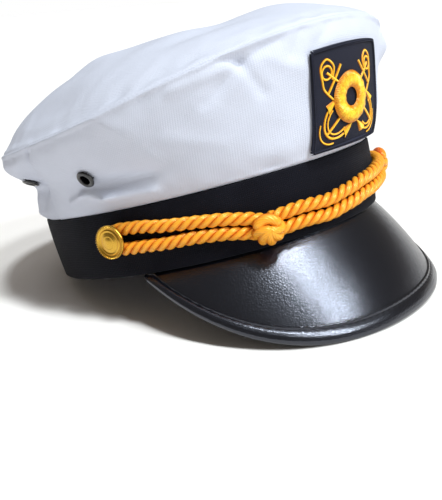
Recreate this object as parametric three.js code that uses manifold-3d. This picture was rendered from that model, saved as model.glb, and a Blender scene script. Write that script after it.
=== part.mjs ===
// A yacht captain's cap, standing on a table by itself. Millimetres, +Z up, peak towards -Y.
// Every piece is drawn in the cap's own frame, where the band's lower rim lies in the plane z = 0
// and is centred on the Z axis. The last section tips the cap back until its peak and the back of
// its band both touch the table.
// Azimuths are measured from the front, in degrees, and are positive towards the wearer's left (+X).
import * as THREE from "three";
import { mergeVertices } from "three/addons/utils/BufferGeometryUtils.js";
import Module from "manifold-3d";

const wasm = await Module();
wasm.setup();

// Clearance between two pieces that are sewn, riveted or laid together
const SEAM_GAP = 0.3;

// Black cloth band round the head
const BAND_HALF_LENGTH = 101;
const BAND_HALF_WIDTH = 84;
const BAND_HEIGHT = 34;
const BAND_WALL = 2;
const BAND_BULGE = 0.5;
// How much further out the top rim lies than the lower rim
const BAND_FLARE_FRONT = 3.6;
const BAND_FLARE_SIDE = -0.8;

// White crown: its top edge hangs out past the band's top rim by these
const OVERHANG_FRONT = 9.5;
const OVERHANG_SIDE = 22.5;
const OVERHANG_BACK = -2.5;
// The top is widest this far in front of the band's middle
const WIDEST_FORWARD = 14;
// The top edge's height above the band
const RISE_FRONT = 63.5;
const RISE_SIDE = 44;
const RISE_BACK = 45;
// The top panel's middle, above the front of its edge
const DOME_RISE = 13.5;
const DOME_BACK_FROM_FRONT = 92;
const CLOTH = 1.6;
// Outward puff of the side wall, and the depth of its folds
const PUFF_DEPTH = 5;
const FOLD_DEPTH = 3;
// The side seam's azimuth at the top edge and at the band
const SEAM_AT_TOP = 101;
const SEAM_AT_BAND = 112;

// Peak: a stiff plate tucked up inside the band, fanned and sloped down, with a bound edge
const PEAK_HALF_SPREAD = 79.5;
const PEAK_LENGTH = 56.5;
const PEAK_END_LENGTH = 2;
const PEAK_THICKNESS = 1.8;
const PEAK_TUCK = 6;
const PEAK_SLOPE_FRONT = 63;
const PEAK_SLOPE_END = 42;
const PEAK_CURL = 9.7;
const BINDING_WIDTH = 9.4;
const BINDING_THICKNESS = 1.1;
const BINDING_ROOM = 2.4;

// Twisted cord that runs in two strands from button to button, with a knot on each side
const CORD_DIAMETER = 6.6;
const KNOT_AT = 39;
const KNOT_HEIGHT = 17;
const KNOT_DEPTH = 13;
// Space between the strands that meet inside a knot
const STRAND_END_GAP = 2.4;

// Gilt side buttons
const BUTTON_AT = 83;
const BUTTON_DIAMETER = 17.4;
const BUTTON_THICKNESS = 3.4;
const SHANK_DIAMETER = 3;

// Black ventilation eyelets
const EYELET_DIAMETER = 9.6;
const EYELET_HOLE = 5;
const EYELET_FLANGE = 0.9;
const EYELET_BARREL_WALL = 0.7;
// Room under a flat flange, because the cloth is curved
const EYELET_SEAT = 0.9;

// Embroidered badge on the front of the crown
const BADGE_WIDTH = 57;
// It is sewn on a little towards the wearer's right, and so is the figure on it
const BADGE_ASIDE = 3;
const FIGURE_ASIDE = 3;
const BADGE_THICKNESS = 1.4;
const BADGE_ABOVE_BAND = 3;
const BADGE_HEIGHT = 47;
const BADGE_GAP = 0.45;
const STITCH_RELIEF = 0.8;
const LIFEBUOY_ASIDE = 5.2;
const LIFEBUOY_DIAMETER = 24.2;
const LIFEBUOY_HOLE = 8.6;
const LIFEBUOY_RELIEF = 1.5;

// Facets
const AZIMUTH_STEPS = 52;
const PEAK_STEPS = 22;
const CORD_SIDES = 8;

const rad = THREE.MathUtils.degToRad;
const UP = new THREE.Vector3(0, 0, 1);
const point = (x, y, z) => new THREE.Vector3(x, y, z);
const span = (count, from, to) =>
  Array.from({ length: count + 1 }, (_, i) => from + ((to - from) * i) / count);

// Value of one column of a table at an azimuth, eased between the rows on each side of it
function column(table, name, azimuth) {
  const next = table.findIndex((row) => row.at >= azimuth);
  if (next <= 0) return table[next === 0 ? 0 : table.length - 1][name];
  const [a, b] = [table[next - 1], table[next]];
  return THREE.MathUtils.lerp(a[name], b[name], THREE.MathUtils.smoothstep(azimuth, a.at, b.at));
}

// Turns points and triangles into a geometry that is closed and faces outwards
function solidGeometry(source) {
  const bare = new THREE.BufferGeometry().setAttribute("position", source.getAttribute("position"));
  bare.setIndex(source.index);
  const merged = mergeVertices(bare, 1e-4);
  const at = merged.getAttribute("position");
  const corner = (i) => new THREE.Vector3().fromBufferAttribute(at, i);
  const faces = [];
  let volume = 0;
  for (let i = 0; i < merged.index.count; i += 3) {
    const [a, b, c] = merged.index.array.slice(i, i + 3);
    if (a === b || b === c || c === a) continue;
    faces.push([a, b, c]);
    volume += corner(a).dot(corner(b).cross(corner(c)));
  }
  const turned = volume < 0 ? faces.map(([a, b, c]) => [a, c, b]) : faces;
  merged.setIndex(turned.flat());
  merged.computeVertexNormals();
  return merged;
}

// A solid lofted through outlines. Point k of an outline faces its point n-1-k, as on the two sides
// of a wall. A ring joins its last outline to its first, and an open loft gets a cap at each end.
function loft(outlines, ring) {
  const n = outlines[0].length;
  const faces = [];
  const quad = (a, b, c, d) => faces.push(a, b, c, a, c, d);
  const lastJoin = ring ? outlines.length : outlines.length - 1;
  for (let i = 0; i < lastJoin; i++) {
    const j = (i + 1) % outlines.length;
    for (let k = 0; k < n; k++) {
      const next = (k + 1) % n;
      quad(i * n + k, j * n + k, j * n + next, i * n + next);
    }
  }
  if (!ring) {
    const end = (outlines.length - 1) * n;
    for (let k = 0; k < n / 2 - 1; k++) {
      quad(k, k + 1, n - 2 - k, n - 1 - k);
      quad(end + n - 1 - k, end + n - 2 - k, end + k + 1, end + k);
    }
  }
  const geometry = new THREE.BufferGeometry().setFromPoints(outlines.flat());
  return solidGeometry(geometry.setIndex(faces));
}

// Joins and cuts
function toManifold(geometry) {
  const clean = solidGeometry(geometry);
  return new wasm.Manifold(
    new wasm.Mesh({
      numProp: 3,
      vertProperties: new Float32Array(clean.getAttribute("position").array),
      triVerts: new Uint32Array(clean.index.array),
    }),
  );
}

function fromManifold(solid) {
  const mesh = solid.getMesh();
  const geometry = new THREE.BufferGeometry();
  geometry.setAttribute("position", new THREE.BufferAttribute(mesh.vertProperties, 3));
  geometry.setIndex(new THREE.BufferAttribute(mesh.triVerts, 1));
  return solidGeometry(geometry);
}

// Outward unit normal of a surface(azimuth, share)
function normalOf(surface, across, along) {
  const step = 1e-3;
  const at = surface(across, along);
  const side = surface(across + step, along).sub(at);
  const rise = surface(across, along + step).sub(at);
  return side.cross(rise).normalize();
}

// A frame standing on a surface: x along the azimuth, z outwards
function frameOn(surface, azimuth, share, out = 0) {
  const normal = normalOf(surface, azimuth, share);
  const across = new THREE.Vector3().crossVectors(UP, normal).normalize();
  const rise = new THREE.Vector3().crossVectors(normal, across);
  return new THREE.Matrix4()
    .makeBasis(across, rise, normal)
    .setPosition(surface(azimuth, share).addScaledVector(normal, out));
}

// Finishes, as seen on the cap
const finish = (color, roughness, metalness = 0) =>
  new THREE.MeshStandardMaterial({ color, roughness, metalness });
const whiteCloth = finish(0xeceef3, 0.9);
const blackCloth = finish(0x20222a, 0.95);
const blackVinyl = finish(0x1b1e22, 0.3);
const goldCord = finish(0xf7a325, 0.45);
const goldThread = finish(0xf2b21c, 0.45);
const gilt = finish(0xc9a227, 0.3, 1);
const blackEnamel = finish(0x1c1c1e, 0.35);

const cap = new THREE.Group();
function add(name, geometry, material, frame) {
  const mesh = new THREE.Mesh(geometry, material);
  mesh.name = name;
  if (frame) frame.decompose(mesh.position, mesh.quaternion, mesh.scale);
  cap.add(mesh);
  return mesh;
}

// Band
function bandNormal(azimuth) {
  const angle = rad(azimuth);
  return point(
    Math.sin(angle) / BAND_HALF_WIDTH,
    -Math.cos(angle) / BAND_HALF_LENGTH,
    0,
  ).normalize();
}

function bandPoint(azimuth, up, out = 0) {
  const angle = rad(azimuth);
  const halfLength = BAND_HALF_LENGTH + BAND_FLARE_FRONT * up;
  const halfWidth = BAND_HALF_WIDTH + BAND_FLARE_SIDE * up;
  const bulge = BAND_BULGE * 4 * up * (1 - up);
  return point(
    halfWidth * Math.sin(angle),
    -halfLength * Math.cos(angle),
    BAND_HEIGHT * up,
  ).addScaledVector(bandNormal(azimuth), bulge + out);
}

const aroundBand = span(AZIMUTH_STEPS, -180, 180).slice(0, -1);
const bandLevels = span(2, 0, 1);
add(
  "band",
  loft(
    aroundBand.map((azimuth) => [
      ...bandLevels.map((up) => bandPoint(azimuth, up)),
      ...bandLevels.toReversed().map((up) => bandPoint(azimuth, up, -BAND_WALL)),
    ]),
    true,
  ),
  blackCloth,
);

// Crown, side wall and top panel. Its top edge is a rounded oval that is high in front.
const FRONT_OVAL_POWER = 2.1;
const BACK_OVAL_POWER = 2.15;
const topMiddle = -WIDEST_FORWARD;
const topFront = -(BAND_HALF_LENGTH + BAND_FLARE_FRONT + OVERHANG_FRONT);
const topBack = BAND_HALF_LENGTH + BAND_FLARE_FRONT + OVERHANG_BACK;
const topHalfWidth = BAND_HALF_WIDTH + BAND_FLARE_SIDE + OVERHANG_SIDE;

function topEdge(azimuth) {
  const angle = rad(azimuth);
  const power = Math.cos(angle) > 0 ? FRONT_OVAL_POWER : BACK_OVAL_POWER;
  const rounded = (value) => Math.sign(value) * Math.abs(value) ** (2 / power);
  const along = rounded(Math.cos(angle));
  const reach = along > 0 ? topMiddle - topFront : topBack - topMiddle;
  const twice = (RISE_FRONT + RISE_BACK) / 4 - RISE_SIDE / 2;
  const rise =
    RISE_SIDE +
    twice +
    ((RISE_FRONT - RISE_BACK) / 2) * Math.cos(angle) +
    twice * Math.cos(2 * angle);
  return point(
    topHalfWidth * rounded(Math.sin(angle)),
    topMiddle - reach * along,
    BAND_HEIGHT + SEAM_GAP + rise,
  );
}

// How the side wall hangs, from the front round to the back. flare is the power of its outward
// curve, puff a share of PUFF_DEPTH, and sag goes from 0, a plain slope, to 1, where the cloth
// stands straight above the band and then rolls out over itself.
const WALL_SECTIONS = [
  { at: 0, flare: 1.0, puff: 1.0, sag: 0 },
  { at: 32, flare: 1.25, puff: 0.6, sag: 0 },
  { at: 62, flare: 1.15, puff: 0.55, sag: 0 },
  { at: 96, flare: 1.2, puff: 0.5, sag: 0.15 },
  { at: 116, flare: 1.2, puff: 0.45, sag: 0.95 },
  { at: 150, flare: 1.2, puff: 0.5, sag: 0.7 },
  { at: 180, flare: 1.2, puff: 0.6, sag: 0.45 },
];
const SAG_STARTS = 0.42;
const SAG_ENDS = 0.85;

// Folds and dents of the side wall: azimuth, share of its height, half-spreads in degrees and in
// share of the height, lean in degrees of azimuth for the whole height, and depth as a share of
// FOLD_DEPTH, outwards if positive
const WALL_FOLDS = [
  { at: -72, up: 0.3, wide: 13, tall: 0.09, lean: 4, depth: -0.55 },
  { at: -82, up: 0.15, wide: 9, tall: 0.07, lean: 0, depth: 0.6 },
  { at: -68, up: 0.72, wide: 3.5, tall: 0.2, lean: -26, depth: 0.35 },
  { at: -40, up: 0.96, wide: 4, tall: 0.2, lean: 12, depth: -0.8 },
  { at: -50, up: 0.5, wide: 7, tall: 0.3, lean: 10, depth: 0.35 },
  { at: 46, up: 0.8, wide: 14, tall: 0.17, lean: 0, depth: 5.5 },
  { at: 32, up: 0.3, wide: 9, tall: 0.3, lean: 0, depth: 1.2 },
  { at: 30, up: 0.95, wide: 5, tall: 0.16, lean: -8, depth: -0.6 },
  { at: 66, up: 0.3, wide: 12, tall: 0.1, lean: -4, depth: -0.5 },
  { at: 80, up: 0.14, wide: 9, tall: 0.07, lean: 0, depth: 0.55 },
  { at: 58, up: 0.8, wide: 4, tall: 0.22, lean: 18, depth: 0.4 },
  { at: -112, up: 0.55, wide: 5, tall: 0.35, lean: 22, depth: -1 },
  { at: -128, up: 0.1, wide: 24, tall: 0.08, lean: 0, depth: 0.45 },
  { at: -130, up: 0.45, wide: 20, tall: 0.13, lean: 0, depth: -1 },
  { at: 138, up: 0.5, wide: 9, tall: 0.2, lean: -12, depth: 0.6 },
  { at: -152, up: 0.45, wide: 7, tall: 0.3, lean: -10, depth: -0.6 },
  { at: 160, up: 0.5, wide: 8, tall: 0.28, lean: 8, depth: -0.55 },
];

const hill = (distance, spread) => Math.exp(-((distance / spread) ** 2));

function foldDepth(azimuth, up) {
  const shares = WALL_FOLDS.map(({ at, up: middle, wide, tall, lean, depth }) => {
    const away = THREE.MathUtils.euclideanModulo(
      azimuth - at - lean * (up - middle) + 180,
      360,
    ) - 180;
    return depth * hill(away, wide) * hill(up - middle, tall);
  });
  return FOLD_DEPTH * shares.reduce((sum, share) => sum + share, 0);
}

function wallPoint(azimuth, up) {
  const turned = Math.abs(THREE.MathUtils.euclideanModulo(azimuth + 180, 360) - 180);
  const sag = column(WALL_SECTIONS, "sag", turned);
  const plain = Math.max(up, 0) ** column(WALL_SECTIONS, "flare", turned);
  const rolled = THREE.MathUtils.smoothstep(up, SAG_STARTS, SAG_ENDS);
  const out = THREE.MathUtils.lerp(plain, rolled, sag);
  const foot = bandPoint(azimuth, 1);
  const edge = topEdge(azimuth);
  const puff = PUFF_DEPTH * column(WALL_SECTIONS, "puff", turned) * (1 - (2 * up - 1) ** 4);
  const edgeFade = 1 - up ** 6;
  const footFade = THREE.MathUtils.smoothstep(up, 0, 0.12);
  const push = puff + foldDepth(azimuth, up) * edgeFade * footFade;
  return point(
    THREE.MathUtils.lerp(foot.x, edge.x, out),
    THREE.MathUtils.lerp(foot.y, edge.y, out),
    THREE.MathUtils.lerp(BAND_HEIGHT + SEAM_GAP, edge.z, up),
  ).addScaledVector(bandNormal(azimuth), push);
}

const wallLevels = [0, 0.07, 0.18, 0.31, 0.44, 0.57, 0.7, 0.85, 1];
const level = (vector) => vector.setZ(0).normalize();

// One upright section of the wall. Both rims are level, so that the next piece seats on them.
function wallSection(azimuth) {
  const outer = wallLevels.map((up) => wallPoint(azimuth(up), up));
  const inner = wallLevels.map((up, i) => {
    const normal = normalOf(wallPoint, azimuth(up), up);
    const atRim = up === 0 || up === 1;
    return outer[i].clone().addScaledVector(atRim ? level(normal) : normal, -CLOTH);
  });
  return [...outer, ...inner.toReversed()];
}

// The side seam leans back towards the band. Each panel stops half a gap short of it.
const seamAzimuth = (up) => THREE.MathUtils.lerp(SEAM_AT_BAND, SEAM_AT_TOP, up);
const seamHalfGap = THREE.MathUtils.radToDeg(SEAM_GAP / 2 / BAND_HALF_WIDTH);

function wallPanel(count, share) {
  return loft(span(count, -1, 1).map((side) => wallSection((up) => share(side, up))), false);
}

const frontPanel = wallPanel(
  Math.round((AZIMUTH_STEPS * SEAM_AT_TOP) / 180),
  (side, up) => side * (seamAzimuth(up) - seamHalfGap),
);
const backPanel = wallPanel(
  Math.round((AZIMUTH_STEPS * (180 - SEAM_AT_TOP)) / 180),
  (side, up) => 180 + side * (180 - seamAzimuth(up) - seamHalfGap),
);

// Eyelets: a spool through the wall on each side of each side seam
const EYELETS = [
  { name: "eyelet_right_front", at: -86.5, up: 0.44, panel: "front" },
  { name: "eyelet_right_back", at: -118, up: 0.58, panel: "back" },
  { name: "eyelet_left_front", at: 86.5, up: 0.44, panel: "front" },
  { name: "eyelet_left_back", at: 117, up: 0.6, panel: "back" },
];

function eyelet() {
  const hole = EYELET_HOLE / 2;
  const barrel = hole + EYELET_BARREL_WALL;
  const rim = EYELET_DIAMETER / 2;
  const under = EYELET_SEAT;
  const back = -CLOTH - EYELET_SEAT;
  const profile = [
    [hole, back - EYELET_FLANGE],
    [rim - EYELET_FLANGE, back - EYELET_FLANGE],
    [rim - EYELET_FLANGE, back],
    [barrel, back],
    [barrel, under],
    [rim, under],
    [rim - EYELET_FLANGE, under + EYELET_FLANGE],
    [barrel, under + EYELET_FLANGE],
    [hole, back - EYELET_FLANGE],
  ];
  const points = profile.map(([r, z]) => new THREE.Vector2(r, z));
  return new THREE.LatheGeometry(points, 12).rotateX(Math.PI / 2);
}

function withoutEyelets(panel, geometry) {
  const radius = EYELET_HOLE / 2 + EYELET_BARREL_WALL + SEAM_GAP;
  return fromManifold(
    EYELETS.filter((row) => row.panel === panel).reduce((solid, { at, up }) => {
      const cutter = new THREE.CylinderGeometry(radius, radius, CLOTH * 6, 12)
        .rotateX(Math.PI / 2)
        .applyMatrix4(frameOn(wallPoint, at, up));
      return solid.subtract(toManifold(cutter));
    }, toManifold(geometry)),
  );
}

add("crown_front", withoutEyelets("front", frontPanel), whiteCloth);
add("crown_back", withoutEyelets("back", backPanel), whiteCloth);
for (const { name, at, up } of EYELETS) {
  add(name, solidGeometry(eyelet()), blackEnamel, frameOn(wallPoint, at, up));
}

// Folds of the top panel: azimuth, share of the way from the middle to the edge, half-spreads in
// degrees and in that share, and depth as a share of FOLD_DEPTH
const TOP_FOLDS = [
  { at: -46, out: 0.72, wide: 16, deep: 0.07, depth: -0.7 },
  { at: -30, out: 0.5, wide: 18, deep: 0.12, depth: -0.4 },
  { at: -98, out: 0.88, wide: 15, deep: 0.07, depth: -1 },
  { at: -97, out: 0.56, wide: 14, deep: 0.1, depth: 0.9 },
  { at: -118, out: 0.72, wide: 12, deep: 0.12, depth: -0.4 },
  { at: 40, out: 0.7, wide: 14, deep: 0.08, depth: -0.6 },
  { at: 100, out: 0.8, wide: 15, deep: 0.09, depth: -0.6 },
  { at: 165, out: 0.75, wide: 16, deep: 0.1, depth: -0.7 },
  { at: 15, out: 0.62, wide: 30, deep: 0.25, depth: 1 },
];
const DOME_POWER = 3.9;
const domeMiddle = point(
  0,
  topFront + DOME_BACK_FROM_FRONT,
  BAND_HEIGHT + 2 * SEAM_GAP + RISE_FRONT + DOME_RISE,
);

// share 0 is the seam at the top edge, and 1 the middle of the top
function topPoint(azimuth, share) {
  const out = 1 - share;
  const edge = topEdge(azimuth).addScaledVector(UP, SEAM_GAP);
  const high = domeMiddle.z - (domeMiddle.z - edge.z) * out ** DOME_POWER;
  const folds = TOP_FOLDS.reduce((sum, row) => {
    const away = THREE.MathUtils.euclideanModulo(azimuth - row.at + 180, 360) - 180;
    return sum + row.depth * hill(away, row.wide) * hill(out - row.out, row.deep);
  }, 0);
  return domeMiddle
    .clone()
    .lerp(edge, out)
    .setZ(high + FOLD_DEPTH * folds);
}

const topShares = [0, 0.04, 0.12, 0.24, 0.42, 0.68, 1];
function topSection(azimuth) {
  const outer = topShares.map((share) => topPoint(azimuth, share));
  const inner = topShares.map((share, i) => {
    if (share === 1) return domeMiddle.clone().addScaledVector(UP, -CLOTH);
    const normal = normalOf(topPoint, azimuth, share);
    const inward = share === 0 ? level(normal) : normal;
    return outer[i].clone().addScaledVector(inward, -CLOTH);
  });
  return [...outer, ...inner.toReversed()];
}
add("crown_top", loft(aroundBand.map(topSection), true), whiteCloth);

// Peak. side runs from -1 to 1 along the band, and share from 0 at the band to 1 at the edge.
const CORNER_POWER = 4;
const TAPER_POWER = 1.09;
const FAN = 0.55;

function peakLength(side) {
  const body = Math.max(0, 1 - Math.abs(side) ** CORNER_POWER) ** TAPER_POWER;
  return PEAK_END_LENGTH + (PEAK_LENGTH - PEAK_END_LENGTH) * body;
}

function peakPoint(side, share) {
  const azimuth = side * PEAK_HALF_SPREAD;
  const fanned = rad(azimuth * FAN);
  const ends = THREE.MathUtils.lerp(PEAK_SLOPE_FRONT, PEAK_SLOPE_END, side ** 2);
  const slope = rad(ends + PEAK_CURL * (share - 0.5));
  const reach = share * peakLength(side);
  const root = bandPoint(azimuth, 0, -(BAND_WALL + SEAM_GAP) * (1 - share));
  return root.add(
    point(
      Math.sin(fanned) * Math.cos(slope),
      -Math.cos(fanned) * Math.cos(slope),
      -Math.sin(slope),
    ).multiplyScalar(reach),
  );
}

// The side grows with the azimuth and the share grows downwards, so this points up and out
const peakNormal = (side, share) => normalOf(peakPoint, side, share).negate();

const bindingRound = PEAK_THICKNESS / 2 + SEAM_GAP + BINDING_THICKNESS;
function peakSection(side) {
  const azimuth = side * PEAK_HALF_SPREAD;
  const tuck = PEAK_TUCK / BAND_HEIGHT;
  const room = -(BAND_WALL + SEAM_GAP);
  const end = Math.max(0.5, 1 - bindingRound / peakLength(side));
  const shares = [0.12, 0.3, 0.5, 0.7, 0.86, 1].map((share) => share * end);
  const outer = [
    bandPoint(azimuth, tuck, room),
    bandPoint(azimuth, 0, room),
    ...shares.map((share) => peakPoint(side, share)),
  ];
  const inner = [
    bandPoint(azimuth, tuck, room - PEAK_THICKNESS),
    bandPoint(azimuth, 0, room - PEAK_THICKNESS).addScaledVector(UP, -PEAK_THICKNESS / 4),
    ...shares.map((share) =>
      peakPoint(side, share).addScaledVector(peakNormal(side, share), -PEAK_THICKNESS),
    ),
  ];
  return [...outer, ...inner.toReversed()];
}
// The binding stops just short of the peak's ends, and both are lofted at the same places
const BINDING_END = 0.98;
const alongBinding = span(PEAK_STEPS, -BINDING_END, BINDING_END);
add("peak", loft([-1, ...alongBinding, 1].map(peakSection), false), blackVinyl);

// Binding: a strip folded over the peak's edge. inward is the distance from the edge, and off the
// distance from the middle of the plate.
function bindingSection(side) {
  const length = peakLength(side);
  const width = Math.min(BINDING_WIDTH, length - BINDING_ROOM);
  const inside = PEAK_THICKNESS / 2 + SEAM_GAP;
  const place = ([inward, off]) => {
    const share = 1 - inward / length;
    const lift = off - PEAK_THICKNESS / 2;
    return peakPoint(side, share).addScaledVector(peakNormal(side, share), lift);
  };
  const round = (radius) =>
    [90, 45, 0, -45, -90].map((angle) => [
      bindingRound - radius * Math.cos(rad(angle)),
      radius * Math.sin(rad(angle)),
    ]);
  const outer = [
    [width, inside + BINDING_THICKNESS * 0.6],
    [(width + bindingRound) / 2, bindingRound],
    ...round(bindingRound),
    [(width + bindingRound) / 2, -bindingRound],
  ];
  const inner = [
    [width, inside],
    [(width + bindingRound) / 2, inside],
    ...round(inside),
    [(width + bindingRound) / 2, -inside],
  ];
  return [...outer.map(place), ...inner.map(place).toReversed()];
}
const binding = add(
  "peak_binding",
  loft(alongBinding.map(bindingSection), false),
  blackVinyl,
);

// Cord. Its two strands run side by side over the band: middle is their height as a share of the
// band's, and apart the distance between them as a share of the cord's diameter.
const CORD_ROUTE = [
  { at: -83, middle: 0.6, apart: 1.55 },
  { at: -75, middle: 0.585, apart: 1.5 },
  { at: -67, middle: 0.54, apart: 1.3 },
  { at: -60, middle: 0.52, apart: 1.12 },
  { at: -52, middle: 0.475, apart: 1.06 },
  { at: -45, middle: 0.4, apart: 1.06 },
  { at: -39, middle: 0.31, apart: 1.06 },
  { at: -28, middle: 0.34, apart: 1.06 },
  { at: -18, middle: 0.31, apart: 1.06 },
  { at: -10, middle: 0.355, apart: 1.06 },
  { at: 0, middle: 0.41, apart: 1.06 },
  { at: 18, middle: 0.47, apart: 1.06 },
  { at: 39, middle: 0.52, apart: 1.06 },
  { at: 52, middle: 0.55, apart: 1.06 },
  { at: 60, middle: 0.56, apart: 1.12 },
  { at: 75, middle: 0.585, apart: 1.5 },
  { at: 83, middle: 0.6, apart: 1.55 },
];
const cordOut = CORD_DIAMETER / 2 + SEAM_GAP;
const buttonUp = CORD_ROUTE[0].middle;
const turnRadius = (CORD_ROUTE[0].apart * CORD_DIAMETER) / 2;
const straightPart = 0.96;

function strandPoint(azimuth, strand) {
  const middle = column(CORD_ROUTE, "middle", azimuth) * BAND_HEIGHT;
  const half = (column(CORD_ROUTE, "apart", azimuth) * CORD_DIAMETER) / 2;
  return bandPoint(azimuth, (middle + strand * half) / BAND_HEIGHT, cordOut);
}

function tube(points, steps, diameter = CORD_DIAMETER) {
  const ring = span(CORD_SIDES, 0, 2 * Math.PI)
    .slice(0, -1)
    .map((angle) => new THREE.Vector2(Math.cos(angle), Math.sin(angle)).multiplyScalar(diameter / 2));
  return new THREE.ExtrudeGeometry(new THREE.Shape(ring), {
    steps,
    extrudePath: new THREE.CatmullRomCurve3(points, false, "centripetal"),
    bevelEnabled: false,
  });
}

// The strands end inside the knot, a little apart from the ones that come from the other side
const knotHalfGap = THREE.MathUtils.radToDeg(STRAND_END_GAP / 2 / BAND_HALF_WIDTH);
function frontStrand(strand) {
  const reach = KNOT_AT - knotHalfGap;
  return span(14, -reach, reach).map((azimuth) => strandPoint(azimuth, strand));
}

// From the knot to the button, round its shank and back
function loopPoints(hand) {
  const reach = span(7, KNOT_AT + knotHalfGap, BUTTON_AT * straightPart);
  const upper = reach.map((azimuth) => strandPoint(hand * azimuth, 1));
  const lower = reach.toReversed().map((azimuth) => strandPoint(hand * azimuth, -1));
  const frame = frameOn(bandPoint, hand * BUTTON_AT, buttonUp, cordOut);
  const turn = span(6, 90, -90).map((angle) =>
    point(
      hand * turnRadius * Math.cos(rad(angle)),
      turnRadius * Math.sin(rad(angle)),
      0,
    ).applyMatrix4(frame),
  );
  return [...upper, ...turn, ...lower];
}

const cordRuns = {
  cord_front_upper: { points: frontStrand(1), steps: 18 },
  cord_front_lower: { points: frontStrand(-1), steps: 18 },
  cord_loop_right: { points: loopPoints(-1), steps: 32 },
  cord_loop_left: { points: loopPoints(1), steps: 32 },
};
for (const [name, { points, steps }] of Object.entries(cordRuns)) {
  add(name, solidGeometry(tube(points, steps)), goldCord);
}

// Knots: two turns of cord that cross over the strands, drawn in tight, with room for the strands
function knot(hand) {
  const thick = CORD_DIAMETER * 0.45;
  const turn = (lean) =>
    new THREE.TorusGeometry(KNOT_HEIGHT / 2 - thick, thick, 6, 12)
      .rotateY(Math.PI / 2)
      .rotateZ(rad(lean))
      .scale(1.25, 1, KNOT_DEPTH / KNOT_HEIGHT);
  const heart = new THREE.SphereGeometry(KNOT_HEIGHT / 2 - thick, 8, 6).scale(
    1,
    1,
    KNOT_DEPTH / KNOT_HEIGHT,
  );
  const up = column(CORD_ROUTE, "middle", hand * KNOT_AT);
  const frame = frameOn(bandPoint, hand * KNOT_AT, up, KNOT_DEPTH / 2 + SEAM_GAP);
  const lump = [turn(26), turn(-26), heart]
    .map((shape) => toManifold(shape.applyMatrix4(frame)))
    .reduce((whole, piece) => whole.add(piece));
  const room = CORD_DIAMETER + 2 * SEAM_GAP;
  const knotMiddle = new THREE.Vector3().setFromMatrixPosition(frame);
  const near = (points) => points.filter((at) => at.distanceTo(knotMiddle) < KNOT_HEIGHT * 1.6);
  const through = [1, -1].map((strand) =>
    near(span(40, KNOT_AT - 20, KNOT_AT + 20).map((at) => strandPoint(hand * at, strand))),
  );
  const open = through
    .map((points) => toManifold(tube(points, 14, room / Math.cos(Math.PI / CORD_SIDES))))
    .reduce((solid, channel) => solid.subtract(channel), lump);
  const largest = open.decompose().sort((a, b) => b.volume() - a.volume())[0];
  return fromManifold(largest);
}
add("knot_right", knot(-1), goldCord);
add("knot_left", knot(1), goldCord);

// Buttons: a stamped head with a raised rim and ring, on a shank that the cord goes round
function button() {
  const rim = BUTTON_DIAMETER / 2;
  const base = CORD_DIAMETER + 2.5 * SEAM_GAP;
  const shank = SHANK_DIAMETER / 2;
  const profile = [
    [0, SEAM_GAP],
    [shank, SEAM_GAP],
    [shank, base],
    [rim * 0.93, base],
    [rim, base + BUTTON_THICKNESS * 0.2],
    [rim, base + BUTTON_THICKNESS * 0.42],
    [rim * 0.93, base + BUTTON_THICKNESS * 0.6],
    [rim * 0.8, base + BUTTON_THICKNESS * 0.44],
    [rim * 0.66, base + BUTTON_THICKNESS * 0.66],
    [rim * 0.3, base + BUTTON_THICKNESS * 0.86],
    [0, base + BUTTON_THICKNESS],
  ];
  const points = profile.map(([r, z]) => new THREE.Vector2(r, z));
  return new THREE.LatheGeometry(points, 16).rotateX(Math.PI / 2);
}
for (const [name, hand] of [["button_right", -1], ["button_left", 1]]) {
  add(name, solidGeometry(button()), gilt, frameOn(bandPoint, hand * BUTTON_AT, buttonUp));
}

// Badge, in its own flat measure: x across from the middle, y up from its lower edge, and off its
// face. It is bent onto the crown's front wall.
function azimuthAcross(x, up) {
  let [low, high] = [-60, 60];
  for (let i = 0; i < 40; i++) {
    const middle = (low + high) / 2;
    if (wallPoint(middle, up).x < x) low = middle;
    else high = middle;
  }
  return (low + high) / 2;
}

function onBadge(x, y, off) {
  const up = (BADGE_ABOVE_BAND + y) / RISE_FRONT;
  const azimuth = azimuthAcross(x - BADGE_ASIDE, up);
  const normal = normalOf(wallPoint, azimuth, up);
  const lift = BADGE_GAP + BADGE_THICKNESS + off;
  return wallPoint(azimuth, up).addScaledVector(normal, lift);
}

const acrossBadge = span(8, -BADGE_WIDTH / 2, BADGE_WIDTH / 2);
const upBadge = span(6, 0, BADGE_HEIGHT);
add(
  "badge",
  loft(
    acrossBadge.map((x) => [
      ...upBadge.map((y) => onBadge(x, y, 0)),
      ...upBadge.toReversed().map((y) => onBadge(x, y, -BADGE_THICKNESS)),
    ]),
    false,
  ),
  blackCloth,
);

// A raised line of stitching along a route of [x, y] points. width may change along it.
function stitched(route, width, low = SEAM_GAP, high = SEAM_GAP + STITCH_RELIEF) {
  const line = route.map(([x, y]) => new THREE.Vector2(x, y));
  const outlines = line.map((at, i) => {
    const ahead = line[Math.min(i + 1, line.length - 1)];
    const behind = line[Math.max(i - 1, 0)];
    const across = ahead.clone().sub(behind).normalize();
    const half = width(i / (line.length - 1)) / 2;
    const side = new THREE.Vector2(-across.y, across.x).multiplyScalar(half);
    const [left, right] = [at.clone().add(side), at.clone().sub(side)];
    return [
      onBadge(left.x, left.y, high),
      onBadge(right.x, right.y, high),
      onBadge(right.x, right.y, low),
      onBadge(left.x, left.y, low),
    ];
  });
  return outlines;
}

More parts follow.
